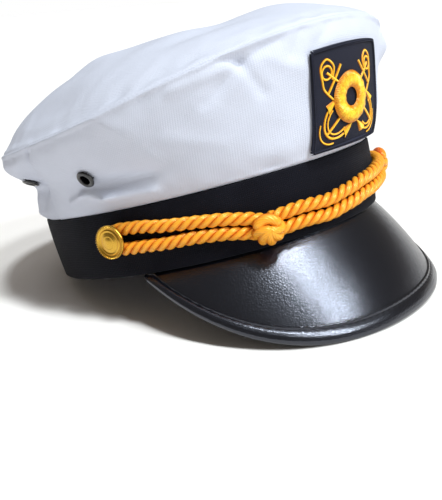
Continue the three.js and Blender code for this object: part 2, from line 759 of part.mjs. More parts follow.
// Lifebuoy: a flat ring over the crossing of the anchors
const buoyMiddle = [-LIFEBUOY_ASIDE, BADGE_HEIGHT * 0.465];
function lifebuoy() {
  const low = 2 * SEAM_GAP + STITCH_RELIEF;
  const outlines = span(20, 0, 2 * Math.PI).slice(0, -1).map((angle) => {
    const at = (radius, off) =>
      onBadge(
        buoyMiddle[0] + radius * Math.cos(angle),
        buoyMiddle[1] + radius * Math.sin(angle),
        off,
      );
    const [inside, outside] = [LIFEBUOY_HOLE / 2, LIFEBUOY_DIAMETER / 2];
    const third = (outside - inside) / 3;
    return [
      at(inside, low),
      at(inside, low + LIFEBUOY_RELIEF * 0.4),
      at(inside + third, low + LIFEBUOY_RELIEF),
      at(outside - third, low + LIFEBUOY_RELIEF),
      at(outside, low + LIFEBUOY_RELIEF * 0.4),
      at(outside, low),
    ];
  });
  return loft(outlines, true);
}
add("badge_lifebuoy", lifebuoy(), goldThread);

// Anchors, crossed. Places are shares of the badge's half-width and of its height, and the parts of
// an anchor are shares of the length from its crown to its eye.
const ANCHOR_CROWN = [-0.64, 0.16];
const ANCHOR_EYE = [0.59, 0.755];
const ANCHOR_ARMS = { spread: 0.18, reach: 0.23 };
const ANCHOR_FLUKE = { length: 0.14, width: 0.11 };
const ANCHOR_STOCK = { up: 0.865, half: 0.16 };
const ANCHOR_RING = 0.055;
const ROPE_ROUTE = [
  [0.48, 0.68],
  [0.43, 0.8],
  [0.57, 0.88],
  [0.71, 0.82],
  [0.69, 0.68],
  [0.65, 0.59],
  [0.47, 0.47],
];
const LINE_WIDTH = 1.4;
const underlayRadius = LIFEBUOY_HOLE / 2 + LINE_WIDTH;

function anchor(hand) {
  const placeOf = ([x, y]) =>
    new THREE.Vector2(hand * x * (BADGE_WIDTH / 2) - FIGURE_ASIDE, y * BADGE_HEIGHT);
  const crown = placeOf(ANCHOR_CROWN);
  const eye = placeOf(ANCHOR_EYE);
  const length = eye.distanceTo(crown);
  const along = eye.clone().sub(crown).normalize();
  const across = new THREE.Vector2(-along.y, along.x);
  const at = (up, side) =>
    crown
      .clone()
      .addScaledVector(along, up * length)
      .addScaledVector(across, side * length)
      .toArray();
  const { spread, reach } = ANCHOR_ARMS;
  const inHole = (up) => {
    const [x, y] = at(up, 0);
    return Math.hypot(x - buoyMiddle[0], y - buoyMiddle[1]) < underlayRadius;
  };
  const hidden = span(60, 0, 1).filter(inHole);
  const shank = [[0, hidden[0]], [hidden.at(-1), 1]].map((ends) =>
    stitched(
      span(2, ...ends).map((up) => at(up, 0)),
      (t) => LINE_WIDTH * (1.7 - 0.7 * THREE.MathUtils.lerp(...ends, t)),
    ),
  );
  const stock = stitched(
    span(2, -ANCHOR_STOCK.half, ANCHOR_STOCK.half).map((side) => at(ANCHOR_STOCK.up, side)),
    () => LINE_WIDTH,
  );
  const arms = stitched(
    span(8, -90, 90).map((angle) =>
      at(reach * (1 - Math.cos(rad(angle))), spread * Math.sin(rad(angle))),
    ),
    (t) => LINE_WIDTH * (1 + 1.2 * Math.sin(Math.PI * t)),
  );
  const flukes = [-1, 1].map((side) =>
    stitched(
      span(2, 0, 1).map((t) => at(reach + ANCHOR_FLUKE.length * (t - 0.4), side * spread)),
      (t) => ANCHOR_FLUKE.width * length * (1.05 - t),
    ),
  );
  const rope = stitched(
    new THREE.SplineCurve(ROPE_ROUTE.map(placeOf)).getPoints(8).map((spot) => spot.toArray()),
    () => LINE_WIDTH,
  );
  const ring = span(8, 0, 2 * Math.PI).slice(0, -1).map((angle) => {
    const edgeAt = (radius, off) =>
      onBadge(...at(1 + radius * Math.cos(angle), radius * Math.sin(angle)), off);
    const [inside, outside] = [ANCHOR_RING, ANCHOR_RING + LINE_WIDTH / length];
    const [low, high] = [SEAM_GAP, SEAM_GAP + STITCH_RELIEF];
    return [
      edgeAt(inside, high),
      edgeAt(outside, high),
      edgeAt(outside, low),
      edgeAt(inside, low),
    ];
  });
  const strips = [...shank, stock, arms, rope, ...flukes].map((outlines) => loft(outlines, false));
  return [...strips, loft(ring, true)]
    .map(toManifold)
    .reduce((whole, piece) => whole.add(piece));
}

// The shanks stop at a ring of underlay stitches round the lifebuoy's hole, which joins both anchors
// into one figure
function underlay() {
  const outlines = span(12, 0, 2 * Math.PI).slice(0, -1).map((angle) => {
    const edgeAt = (radius, off) =>
      onBadge(
        buoyMiddle[0] + radius * Math.cos(angle),
        buoyMiddle[1] + radius * Math.sin(angle),
        off,
      );
    const [inside, outside] = [underlayRadius - LINE_WIDTH / 2, underlayRadius + LINE_WIDTH / 2];
    const [low, high] = [SEAM_GAP, SEAM_GAP + STITCH_RELIEF];
    return [
      edgeAt(inside, high),
      edgeAt(outside, high),
      edgeAt(outside, low),
      edgeAt(inside, low),
    ];
  });
  return toManifold(loft(outlines, true));
}
add("badge_anchors", fromManifold(anchor(1).add(anchor(-1)).add(underlay())), goldThread);

// Rest on the table: the cap tips back about the back of its band until the peak touches
const backRim = BAND_HALF_LENGTH;
const edge = binding.geometry.getAttribute("position");
let tip = 0;
for (let i = 0; i < edge.count; i++) {
  tip = Math.max(tip, Math.atan2(-edge.getZ(i), backRim - edge.getY(i)));
}
cap.rotation.x = -tip;
cap.updateMatrixWorld(true);

// The origin is on the table, under the middle of the cap's box
const box = new THREE.Box3().setFromObject(cap, true);
const middle = box.getCenter(new THREE.Vector3());
cap.position.set(-middle.x, -middle.y, -box.min.z);

export default cap;
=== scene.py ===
import math

import bpy
import numpy as np
from mathutils import Matrix, Vector


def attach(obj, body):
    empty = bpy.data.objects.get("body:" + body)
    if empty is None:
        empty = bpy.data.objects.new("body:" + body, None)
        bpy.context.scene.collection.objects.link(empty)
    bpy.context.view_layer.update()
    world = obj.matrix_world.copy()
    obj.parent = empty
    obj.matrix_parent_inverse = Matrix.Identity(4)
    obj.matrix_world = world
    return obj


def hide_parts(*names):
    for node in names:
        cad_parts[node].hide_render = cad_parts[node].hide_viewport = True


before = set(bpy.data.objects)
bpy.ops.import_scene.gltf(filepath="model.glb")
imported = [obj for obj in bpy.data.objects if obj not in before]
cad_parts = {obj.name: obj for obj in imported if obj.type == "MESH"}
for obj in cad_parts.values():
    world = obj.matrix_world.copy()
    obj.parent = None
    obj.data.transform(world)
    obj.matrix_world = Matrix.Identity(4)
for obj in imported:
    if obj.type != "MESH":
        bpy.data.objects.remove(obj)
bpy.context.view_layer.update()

# Band: the ring round the head, black woven cloth over a stiff strip, 34 mm high and 2 mm thick.
# Everything else is sewn to it.

# The cap is measured upright, in mm, from the band's lower rim with the peak towards -Y. Azimuths
# are degrees from the front. It then tips back to stand on its peak's edge and the back of the rim.
MM = 0.001
TIPPED = math.radians(13.525734)
ON_TABLE = np.array([0, 6.48795506, 23.62208943])
HALF_LENGTH = 101
HALF_WIDTH = 84
BAND_HEIGHT = 34
BAND_WALL = 2


def on_table(points):
    """Points of the upright cap, in mm, as places of the cap that stands on the table, in m."""
    x, y, z = np.moveaxis(points, -1, 0)
    cos, sin = math.cos(TIPPED), math.sin(TIPPED)
    return (np.stack([x, y * cos + z * sin, z * cos - y * sin], -1) + ON_TABLE) * MM


def unit(vectors):
    return vectors / np.linalg.norm(vectors, axis=-1, keepdims=True)


def lerp(a, b, share):
    return a + (b - a) * share


def ease(value, low, high):
    share = np.clip((value - low) / (high - low), 0, 1)
    return share * share * (3 - 2 * share)


def hill(distance, spread):
    return np.exp(-((distance / spread) ** 2))


def unevenness(points, size, seed):
    """Soft chance ups and downs, mostly between -1 and 1, about size mm from one to the next."""
    chance = np.random.default_rng(seed)
    ways = unit(chance.normal(size=(12, 3))) * 2 * math.pi / size
    return np.sin(points @ ways.T + chance.uniform(0, 2 * math.pi, 12)).sum(-1) / math.sqrt(12)


def band_normal(azimuth):
    angle = np.radians(azimuth)
    return unit(np.stack([np.sin(angle) / HALF_WIDTH, -np.cos(angle) / HALF_LENGTH, 0 * angle], -1))


def band_point(azimuth, up, out=0.0):
    """A place at a share up of the band's height, out mm outside its outer face."""
    azimuth, up, out = np.broadcast_arrays(azimuth, up, out)
    angle = np.radians(azimuth)
    half_width = HALF_WIDTH - 0.8 * up
    half_length = HALF_LENGTH + 3.6 * up
    at = [half_width * np.sin(angle), -half_length * np.cos(angle), BAND_HEIGHT * up]
    return np.stack(at, -1) + band_normal(azimuth) * (2 * up * (1 - up) + out)[..., None]


def close_up(gap):
    """Merges points of the edited piece that are within gap, and turns its faces outwards."""
    bpy.ops.mesh.select_all(action="SELECT")
    bpy.ops.mesh.remove_doubles(threshold=gap)
    bpy.ops.mesh.normals_make_consistent(inside=False)
    bpy.ops.object.mode_set(mode="OBJECT")


def laid_grid(name, columns, rows, place, size, joined=False):
    """A grid of faces laid over the surface that place(s, t) gives for shares s and t from 0 to 1.
    Its UV map is in mm: size is how long and how high the cloth is. A joined grid closes up where
    its edges meet."""
    bpy.ops.mesh.primitive_grid_add(x_subdivisions=columns, y_subdivisions=rows, size=2)
    piece = bpy.context.object
    piece.name = piece.data.name = name
    flat = np.empty(len(piece.data.vertices) * 3)
    piece.data.vertices.foreach_get("co", flat)
    s, t = (flat.reshape(-1, 3)[:, :2].T + 1) / 2
    piece.data.vertices.foreach_set("co", on_table(place(s, t)).ravel())
    uv = np.empty(len(piece.data.loops) * 2)
    piece.data.uv_layers.active.data.foreach_get("uv", uv)
    piece.data.uv_layers.active.data.foreach_set("uv", (uv.reshape(-1, 2) * size).ravel())
    piece.data.update()
    if joined:
        bpy.ops.object.mode_set(mode="EDIT")
        close_up(1e-6)
    return piece


def alone(piece):
    """Leaves this piece as the only one selected, and the active one."""
    bpy.ops.object.select_all(action="DESELECT")
    piece.select_set(True)
    bpy.context.view_layer.objects.active = piece


def give_wall(piece, thickness, rounding=0.0):
    """Thickens a sheet inwards, in mm, and rounds its rims."""
    alone(piece)
    wall = piece.modifiers.new("wall", "SOLIDIFY")
    wall.thickness = thickness * MM
    wall.offset = -1
    bpy.ops.object.modifier_apply(modifier=wall.name)
    if rounding:
        rims = piece.modifiers.new("rims", "BEVEL")
        rims.width = rounding * MM
        rims.segments = 3
        rims.angle_limit = math.radians(50)
        bpy.ops.object.modifier_apply(modifier=rims.name)


def dress(piece, material, slot, *nodes):
    """Gives a piece its material, and puts it on the frame in place of its CAD nodes."""
    piece.data.materials.clear()
    piece.data.materials.append(material)
    alone(piece)
    bpy.ops.object.shade_smooth_by_angle(angle=math.radians(40))
    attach(piece, "root")
    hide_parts(*nodes)


def linear(hex_colour):
    """An sRGB hex colour as the linear colour that a shader takes."""
    shares = [int(hex_colour[i : i + 2], 16) / 255 for i in (1, 3, 5)]
    return [c / 12.92 if c <= 0.04045 else ((c + 0.055) / 1.055) ** 2.4 for c in shares] + [1]


def node(material, kind, settings):
    """Adds a node, or finds the shader, and fills in its properties, sockets and links."""
    nodes = material.node_tree.nodes
    made = nodes["Principled BSDF"] if kind == "Shader" else nodes.new("ShaderNode" + kind)
    for name, value in settings.items():
        if isinstance(name, str) and name not in made.inputs:
            setattr(made, name, value)
        elif isinstance(value, bpy.types.NodeSocket):
            material.node_tree.links.new(value, made.inputs[name])
        else:
            made.inputs[name].default_value = value
    return made


def new_material(name):
    material = bpy.data.materials.new(name)
    material.use_nodes = True
    return material


def bands(spacing):
    """The scale of a wave texture whose bands are so many mm apart on a UV map in mm."""
    return math.pi / 10 / spacing


def woven(name, colour, worn, spacing, depth, roughness, sheen):
    """A plain woven cloth. spacing is from thread to thread in mm, depth the bump in mm."""
    cloth = new_material(name)
    mapped = node(cloth, "TexCoord", {})
    wave = {"wave_profile": "SIN", "Scale": bands(spacing), "Vector": mapped.outputs["UV"]}
    warp = node(cloth, "TexWave", {"bands_direction": "X", **wave})
    weft = node(cloth, "TexWave", {"bands_direction": "Y", **wave})
    threads = node(
        cloth,
        "Math",
        {"operation": "MULTIPLY", 0: warp.outputs["Fac"], 1: weft.outputs["Fac"]},
    )
    patches = node(
        cloth,
        "TexNoise",
        {"Scale": 60, "Detail": 4, "Roughness": 0.6, "Vector": mapped.outputs["Object"]},
    )
    tint = node(
        cloth,
        "Mix",
        {"data_type": "RGBA", 0: patches.outputs["Fac"], 6: linear(colour), 7: linear(worn)},
    )
    crumpled = node(
        cloth,
        "Bump",
        {"Strength": 0.35, "Distance": 0.6 * MM, "Height": patches.outputs["Fac"]},
    )
    weave = node(
        cloth,
        "Bump",
        {
            "Strength": 1,
            "Distance": depth * MM,
            "Height": threads.outputs[0],
            "Normal": crumpled.outputs[0],
        },
    )
    node(
        cloth,
        "Shader",
        {
            "Base Color": tint.outputs[2],
            "Roughness": roughness,
            "Normal": weave.outputs[0],
            "Sheen Weight": sheen,
            "Sheen Roughness": 0.4,
            "Specular IOR Level": 0.1,
        },
    )
    return cloth


# Wool-like barathea: near black with a touch of navy, matt, with a soft sheen at grazing angles.
# Its threads are about 0.3 mm apart and are drawn at 1 mm, so that they show.
barathea = woven("black_barathea_cloth", "#0a0a10", "#14151d", 1.0, 0.16, 0.9, 0.06)


def band_cloth(s, t):
    azimuth = 360 * s - 180
    at = band_point(azimuth, t)
    return at + band_normal(azimuth) * (0.25 * unevenness(at, 38, 3) * ease(t, 0, 0.3))[:, None]


band = laid_grid("band_cloth", 220, 14, band_cloth, (582, BAND_HEIGHT), joined=True)
give_wall(band, BAND_WALL, 0.6)
dress(band, barathea, "band_cloth", "band")

# Crown: white polyester poplin, two wall panels and a top panel. The wall's upper seam is a narrow
# ridge, because the cloth is folded under it, and its front panel laps over the back one. The cloth
# puckers a little along each seam. The wall is sewn to the band and leans out over it.
CLOTH = 1.6
SEAM = 0.3
RISE_FRONT = 63.5
RISE_SIDE = 44
RISE_BACK = 45
TOP_MIDDLE = -14
TOP_FRONT = -114.1
TOP_BACK = 102.1
TOP_HALF_WIDTH = 105.7
# how far behind its front edge the top panel stands highest, and how far over that edge
TOP_HIGHEST = 92
TOP_DOME = 13.5
TOP_REACH = 95
# azimuth and half-spread in degrees of the puff in the top edge, and how many mm it goes out
TOP_PUFF = (36, 15, 5.5)
FOLD = 3
# azimuth, power of the wall's outward curve, share of the puff, share of the sag
WALL_SECTIONS = np.array(
    [
        (0, 1.0, 1.0, 0),
        (32, 1.25, 0.6, 0),
        (62, 1.15, 0.55, 0),
        (96, 1.2, 0.5, 0.15),
        (116, 1.2, 0.45, 0.95),
        (150, 1.2, 0.5, 0.7),
        (180, 1.2, 0.6, 0.45),
    ]
)
# azimuth, share of the height, half-spreads in degrees and in that share, lean, depth over FOLD
WALL_FOLDS = [
    (-72, 0.3, 13, 0.09, 4, -0.55),
    (-82, 0.15, 9, 0.07, 0, 0.6),
    (-68, 0.72, 3.5, 0.2, -26, 0.35),
    (-40, 0.96, 4, 0.2, 12, -0.8),
    (-50, 0.5, 7, 0.3, 10, 0.35),
    (46, 0.8, 14, 0.17, 0, 3.7),
    (32, 0.3, 9, 0.3, 0, 1.2),
    (30, 0.95, 5, 0.16, -8, -0.6),
    (66, 0.3, 12, 0.1, -4, -0.5),
    (80, 0.14, 9, 0.07, 0, 0.55),
    (58, 0.8, 4, 0.22, 18, 0.4),
    (-112, 0.55, 5, 0.35, 22, -1),
    (-128, 0.1, 24, 0.08, 0, 0.45),
    (-130, 0.45, 20, 0.13, 0, -1),
    (138, 0.5, 9, 0.2, -12, 0.6),
    (-152, 0.45, 7, 0.3, -10, -0.6),
    (160, 0.5, 8, 0.28, 8, -0.55),
]
# azimuth, share of the way out, half-spreads in degrees and in that share, depth over FOLD
TOP_FOLDS = [
    (-46, 0.72, 16, 0.07, -0.7),
    (-30, 0.5, 18, 0.12, -0.4),
    (-98, 0.88, 15, 0.07, -1),
    (-97, 0.56, 14, 0.1, 0.9),
    (-118, 0.72, 12, 0.12, -0.4),
    (40, 0.7, 14, 0.08, -0.6),
    (100, 0.8, 15, 0.09, -0.6),
    (165, 0.75, 16, 0.1, -0.7),
    (15, 0.62, 30, 0.25, 1),
]


def column(table, index, at):
    """One column of a table at each azimuth, eased from row to row."""
    row = np.clip(np.searchsorted(table[:, 0], at, side="right") - 1, 0, len(table) - 2)
    share = ease(at, table[row, 0], table[row + 1, 0])
    return lerp(table[row, index], table[row + 1, index], share)


def turned_by(azimuth, at):
    """How far an azimuth is from another, between -180 and 180."""
    return (azimuth - at + 180) % 360 - 180


def top_edge(azimuth):
    angle = np.radians(azimuth)
    power = np.where(np.cos(angle) > 0, 2 / 2.1, 2 / 2.15)
    along = np.sign(np.cos(angle)) * np.abs(np.cos(angle)) ** power
    across = np.sign(np.sin(angle)) * np.abs(np.sin(angle)) ** power
    reach = np.where(along > 0, TOP_MIDDLE - TOP_FRONT, TOP_BACK - TOP_MIDDLE)
    twice = (RISE_FRONT + RISE_BACK) / 4 - RISE_SIDE / 2
    rise = (
        RISE_SIDE
        + twice
        + (RISE_FRONT - RISE_BACK) / 2 * np.cos(angle)
        + twice * np.cos(2 * angle)
    )
    at = [TOP_HALF_WIDTH * across, TOP_MIDDLE - reach * along, BAND_HEIGHT + SEAM + rise]
    puff_azimuth, puff_spread, puff = TOP_PUFF
    puffed = puff * hill(turned_by(azimuth, puff_azimuth), puff_spread)
    return np.stack(at, -1) + band_normal(azimuth) * puffed[..., None]


def wall_point(azimuth, up):
    """The wall's outer face, from the band at 0 to the top edge at 1."""
    azimuth, up = np.broadcast_arrays(azimuth, up)
    side = np.abs(turned_by(azimuth, 0))
    plain = np.maximum(up, 0) ** column(WALL_SECTIONS, 1, side)
    out = lerp(plain, ease(up, 0.42, 0.85), column(WALL_SECTIONS, 3, side))
    puff = 5 * column(WALL_SECTIONS, 2, side) * (1 - (2 * up - 1) ** 4)
    folds = sum(
        depth * hill(turned_by(azimuth, at + lean * (up - middle)), wide) * hill(up - middle, tall)
        for at, middle, wide, tall, lean, depth in WALL_FOLDS
    )
    push = puff + FOLD * folds * (1 - up**6) * ease(up, 0, 0.12)
    foot, edge = band_point(azimuth, 1.0), top_edge(azimuth)
    at = lerp(foot, edge, out[..., None])
    at[..., 2] = lerp(BAND_HEIGHT + SEAM, edge[..., 2], up)
    return at + band_normal(azimuth) * push[..., None]


# The finer creases: azimuth and share of the height of both ends, depth and half-width in mm
WALL_CREASES = [
    (-75.4, 0.96, -62.9, 0.39, 0.45, 3.2),
    (-84, 0.35, -68, 0.29, -2.4, 5.0),
    (-95, 0.21, -88.9, 0.26, 2.8, 3.4),
    (-88.9, 0.26, -80.7, 0.17, 3.0, 3.4),
    (-80.7, 0.17, -68, 0.12, 2.3, 3.2),
    (-36.4, 0.9, -35, 0.88, -1.7, 3.5),
    (-36, 0.91, -42, 1.0, -1.3, 2.2),
    (-35, 0.9, -23.6, 0.93, -1.1, 2.4),
    (-35.6, 0.88, -31.6, 0.62, -1.0, 2.6),
    (-38, 0.88, -54.4, 0.9, 1.0, 3.0),
    (-37, 0.86, -47, 0.7, -0.8, 3.0),
    (-28, 0.84, -20, 0.7, 0.7, 3.2),
    (-16, 0.95, -21, 0.8, -0.9, 2.6),
    (-6, 0.94, -13, 0.82, -0.9, 2.6),
    (-90, 0.92, -96, 0.35, 0.6, 5.0),
    (-60, 0.55, -46, 0.35, 0.5, 4.0),
]
# About how many mm a degree round the wall is at those creases and at the seams, and its height
WALL_DEGREE = 1.7
SEAM_DEGREE = 1.8
WALL_HEIGHT = 62


def creases(azimuth, up):
    """How far the creases push the cloth out, in mm. Each fades out past its ends."""
    total = 0
    for a, low, b, high, depth, width in WALL_CREASES:
        way = np.array([(b - a) * WALL_DEGREE, (high - low) * WALL_HEIGHT])
        off = np.stack([turned_by(azimuth, a) * WALL_DEGREE, (up - low) * WALL_HEIGHT], -1)
        share = np.clip(off @ way / (way @ way), 0, 1)
        total = total + depth * hill(np.linalg.norm(off - share[..., None] * way, axis=-1), width)
    return total


def seam_azimuth(up):
    """The side seams slant: they stand nearer the front at the top edge than at the band."""
    return lerp(112, 101, up)


def wall_cloth(azimuth, up):
    """The wall's outer face with all that sewing does to it: a welt under the top edge, the front
    panel's lap over the back one, puckers at each seam, and soft unevenness all over."""
    plain = wall_point(azimuth, up)
    high = top_edge(azimuth)[..., 2] - BAND_HEIGHT
    below_edge, above_foot = (1 - up) * high, up * high
    past_seam = (np.abs(turned_by(azimuth, 0)) - seam_azimuth(up)) * SEAM_DEGREE
    pucker = 0.35 * unevenness(plain, 11, 5) * np.exp(-below_edge / 7)
    gather = 0.45 * unevenness(plain, 13, 6) * np.exp(-above_foot / 8)
    drawn = 0.35 * unevenness(plain, 9, 7) * np.exp(-np.abs(past_seam) / 5)
    soft = 0.4 * unevenness(plain, 42, 8) + 0.2 * unevenness(plain, 19, 9)
    settled = ease(above_foot, 0, 3) * ease(below_edge, 0, 3)
    welt = 0.8 * hill(below_edge - 1.3, 1.3) - 0.9 * hill(below_edge, 0.5)
    over = np.where(past_seam < 0, 0.6 * hill(past_seam + 1.3, 1.2), -1.7 * hill(past_seam, 4))
    over = (over - 2.4 * hill(past_seam, 0.7)) * ease(below_edge, 0, 2)
    push = welt + over - 1.1 * hill(above_foot, 0.7)
    push = push + (pucker + gather + drawn + soft + creases(azimuth, up)) * settled
    return plain + band_normal(azimuth) * push[..., None]


def finer_at_ends(share):
    """Draws the grid's lines together towards both ends, where the seams need them."""
    return lerp(share, ease(share, 0, 1), 0.8)


def front_panel(s, t):
    up = finer_at_ends(t)
    return wall_cloth((2 * finer_at_ends(s) - 1) * seam_azimuth(up), up)


def back_panel(s, t):
    up = finer_at_ends(t)
    return wall_cloth(180 + (2 * finer_at_ends(s) - 1) * (180 - seam_azimuth(up)), up)


# azimuth and share of the wall's height of the four eyelets, and the radius of their holes in it
EYELETS = {
    "eyelet_right_front": (-86.5, 0.44),
    "eyelet_right_back": (-118, 0.58),
    "eyelet_left_front": (86.5, 0.44),
    "eyelet_left_back": (117, 0.6),
}
EYELET_HOLE = 3.6


def punch(piece, reach):
    """Cuts the faces away within reach mm of each eyelet's middle."""
    middles = [on_table(wall_point(float(at), up)) for at, up in EYELETS.values()]
    centres = np.array([face.center for face in piece.data.polygons])
    gone = np.zeros(len(centres), bool)
    for middle in middles:
        gone |= np.linalg.norm(centres - middle, axis=1) < reach * MM
    alone(piece)
    bpy.ops.object.mode_set(mode="EDIT")
    bpy.ops.mesh.select_mode(type="FACE")
    bpy.ops.mesh.select_all(action="DESELECT")
    bpy.ops.object.mode_set(mode="OBJECT")
    piece.data.polygons.foreach_set("select", gone)
    bpy.ops.object.mode_set(mode="EDIT")
    bpy.ops.mesh.delete(type="FACE")
    bpy.ops.object.mode_set(mode="OBJECT")


# Poplin is a fine plain weave, smooth, matt and bright, with a faint cool tint from its brightener.
# Its threads are 0.25 mm apart and are drawn at 0.9 mm, so that they show at all.
poplin = woven("white_polyester_poplin", "#cacedb", "#c4c8d5", 0.9, 0.09, 0.8, 0.0)

for name, shape, columns, length in (
    ("crown_front", front_panel, 340, 350),
    ("crown_back", back_panel, 260, 250),
):
    panel = laid_grid(name + "_cloth", columns, 64, shape, (length, 68))
    punch(panel, EYELET_HOLE)
    give_wall(panel, CLOTH)
    dress(panel, poplin, "crown_cloth", name)


def top_point(azimuth, out):
    """The top panel's upper face, from its middle at out 0 to its edge at 1."""
    azimuth, out = np.broadcast_arrays(azimuth, out)
    highest = BAND_HEIGHT + 2 * SEAM + RISE_FRONT + TOP_DOME
    middle = np.array([0, TOP_FRONT + TOP_HIGHEST, highest])
    edge = top_edge(azimuth) + (0, 0, SEAM)
    folds = sum(
        depth * hill(turned_by(azimuth, at), wide) * hill(out - far, deep)
        for at, far, wide, deep, depth in TOP_FOLDS
    )
    at = lerp(middle, edge, out[..., None])
    at[..., 2] = middle[2] - (middle[2] - edge[..., 2]) * out**3.9 + FOLD * folds
    return at


def top_cloth(s, t):
    """The top panel's upper face with its edge drawn down into the seam, and puckered there."""
    azimuth, share = 360 * s - 180, t**1.6
    plain = top_point(azimuth, 1 - share)
    within = share * TOP_REACH
    pucker = 0.5 * unevenness(plain, 11, 5) * np.exp(-within / 6)
    soft = 0.5 * unevenness(plain, 46, 11) + 0.2 * unevenness(plain, 21, 12)
    behind_ridge = 0.5 + 1.3 * hill(turned_by(azimuth, -92), 30)
    lips = -0.8 * hill(within, 0.5) - behind_ridge * hill(within - 3.6, 2.6)
    plain[:, 2] += lips + (pucker + soft) * ease(within, 0, 3) * ease(1 - share, 0, 0.04)
    return plain


top = laid_grid("crown_top_cloth", 480, 66, top_cloth, (1, 1), joined=True)
# Its weave runs straight over it, so its UV map is drawn again as it is seen from above.
across = np.array([vertex.co[:2] for vertex in top.data.vertices]) / MM
corners = np.array([loop.vertex_index for loop in top.data.loops])
top.data.uv_layers.active.data.foreach_set("uv", across[corners].ravel())
give_wall(top, CLOTH)
dress(top, poplin, "crown_cloth", "crown_top")

# Eyelets: brass, black enamelled, pressed through the wall for air. Each is a rolled flange on a
# short barrel, and open.
enamel = new_material("black_enamelled_brass")
# Baked enamel is glossy and even, and its rolled edge catches a thin highlight.
enamel_grain = node(enamel, "TexNoise", {"Scale": 900, "Detail": 2})
enamel_bump = node(
    enamel,
    "Bump",
    {"Strength": 0.15, "Distance": 0.1 * MM, "Height": enamel_grain.outputs["Fac"]},
)
node(
    enamel,
    "Shader",
    {
        "Base Color": linear("#0d0d0f"),
        "Roughness": 0.22,
        "Normal": enamel_bump.outputs[0],
        "Coat Weight": 0.4,
        "Coat Roughness": 0.1,
    },
)


def turned(name, profile, sides, origin, across, rise, outward):
    """A round piece, drawn out of a circle ring by ring through a profile of radius and height in
    mm, then set on the cap at origin with its axis outwards."""
    bpy.ops.mesh.primitive_circle_add(vertices=sides, radius=profile[0][0])
    piece = bpy.context.object
    piece.name = piece.data.name = name
    bpy.ops.object.mode_set(mode="EDIT")
    bpy.ops.mesh.select_all(action="SELECT")
    bpy.ops.transform.translate(value=(0, 0, profile[0][1]))
    for (before, low), (after, high) in zip(profile, profile[1:]):
        bpy.ops.mesh.extrude_edges_move()
        grown = after / before
        bpy.ops.transform.resize(value=(grown, grown, 1), center_override=(0, 0, 0))
        bpy.ops.transform.translate(value=(0, 0, high - low))
    close_up(0.01)
    flat = np.array([vertex.co for vertex in piece.data.vertices])
    placed = origin + flat @ np.stack([across, rise, outward])
    piece.data.vertices.foreach_set("co", on_table(placed).ravel())
    piece.data.update()
    return piece


def frame_on(surface, azimuth, share):
    """A place on a surface with its directions along the azimuth, up and outwards."""
    azimuth = float(azimuth)
    at = surface(azimuth, share)
    along = surface(azimuth + 0.001, share) - at
    outward = unit(np.cross(along, surface(azimuth, share + 0.001) - at))
    across = unit(np.cross((0, 0, 1), outward))
    return at, across, np.cross(outward, across), outward


EYELET_PROFILE = [
    (2.5, -3.2),
    (2.5, 1.1),
    (2.7, 1.55),
    (3.2, 1.8),
    (3.9, 1.75),
    (4.5, 1.45),
    (4.8, 0.95),
    (4.6, 0.7),
    (3.3, 0.5),
    (3.2, -2.3),
    (4.0, -2.5),
    (4.1, -2.9),
    (3.6, -3.3),
    (2.9, -3.4),
    (2.501, -3.2),
]
for name, (azimuth, up) in EYELETS.items():
    ring = turned(name + "_ring", EYELET_PROFILE, 48, *frame_on(wall_point, azimuth, up))
    dress(ring, enamel, "black_enamel", name)

# Peak: a stiff board covered in glossy black grained vinyl. It is tucked up inside the band, slopes
# down steeply and curls under a little at its front edge.
PEAK_SPREAD = 79.5
PEAK_BOARD = 1.8
PEAK_TUCK = 6
PEAK_REACH = 54.5
# slope down in degrees in the middle and at the sides, and how much it grows on the way out
PEAK_SLOPE = 63
PEAK_SIDE_SLOPE = 42
PEAK_CURL = 9.7


def peak_length(side):
    return 2 + PEAK_REACH * np.maximum(0, 1 - np.abs(side) ** 4) ** 1.09


def peak_point(side, share):
    """The peak's upper face: side from -1 to 1, and share from the band at 0 to its edge at 1."""
    side, share = np.broadcast_arrays(side, share)
    fanned = np.radians(side * PEAK_SPREAD * 0.55)
    slope = np.radians(lerp(PEAK_SLOPE, PEAK_SIDE_SLOPE, side**2) + PEAK_CURL * (share - 0.5))
    root = band_point(side * PEAK_SPREAD, 0.0, -(BAND_WALL + SEAM) * (1 - share))
    level = np.cos(slope)
    way = [np.sin(fanned) * level, -np.cos(fanned) * level, -np.sin(slope)]
    return root + np.stack(way, -1) * (share * peak_length(side))[..., None]


def peak_normal(side, share):
    at = peak_point(side, share)
    across = peak_point(side + 0.001, share) - at
    return unit(np.cross(peak_point(side, share + 0.001) - at, across))


def peak_board(s, t):
    """The board's upper face, from the part tucked up in the band out to just short of the edge."""
    side, share = 0.995 * (1 - 2 * s), t * 1.1 - 0.1
    end = np.maximum(0.5, 1 - 1.2 / peak_length(side))
    board = peak_point(side, np.maximum(share, 0) * end)
    tucked = band_point(side * PEAK_SPREAD, PEAK_TUCK / BAND_HEIGHT, -(BAND_WALL + SEAM))
    return lerp(board, tucked, np.clip(-share / 0.1, 0, 1)[:, None])


# Vinyl with a leather grain. It is about 0.5 mm from pit to pit, and drawn at 0.7 mm so that it
# shows. It is shiny but not smooth, so a light gives it a blurred streak full of small sparks.
vinyl = new_material("black_grained_vinyl")
skin = node(vinyl, "TexCoord", {})
pebbles = node(
    vinyl,
    "TexVoronoi",
    {"feature": "SMOOTH_F1", "Scale": 1350, "Smoothness": 0.35, "Vector": skin.outputs["Object"]},
)
grain = node(
    vinyl,
    "Bump",
    {"Strength": 1, "Distance": 0.07 * MM, "Height": pebbles.outputs["Distance"]},
)
node(
    vinyl,
    "Shader",
    {
        "Base Color": linear("#05070e"),
        "Roughness": 0.24,
        "Normal": grain.outputs[0],
        "Specular IOR Level": 0.9,
        "Specular Tint": linear("#ecf0ff"),
    },
)

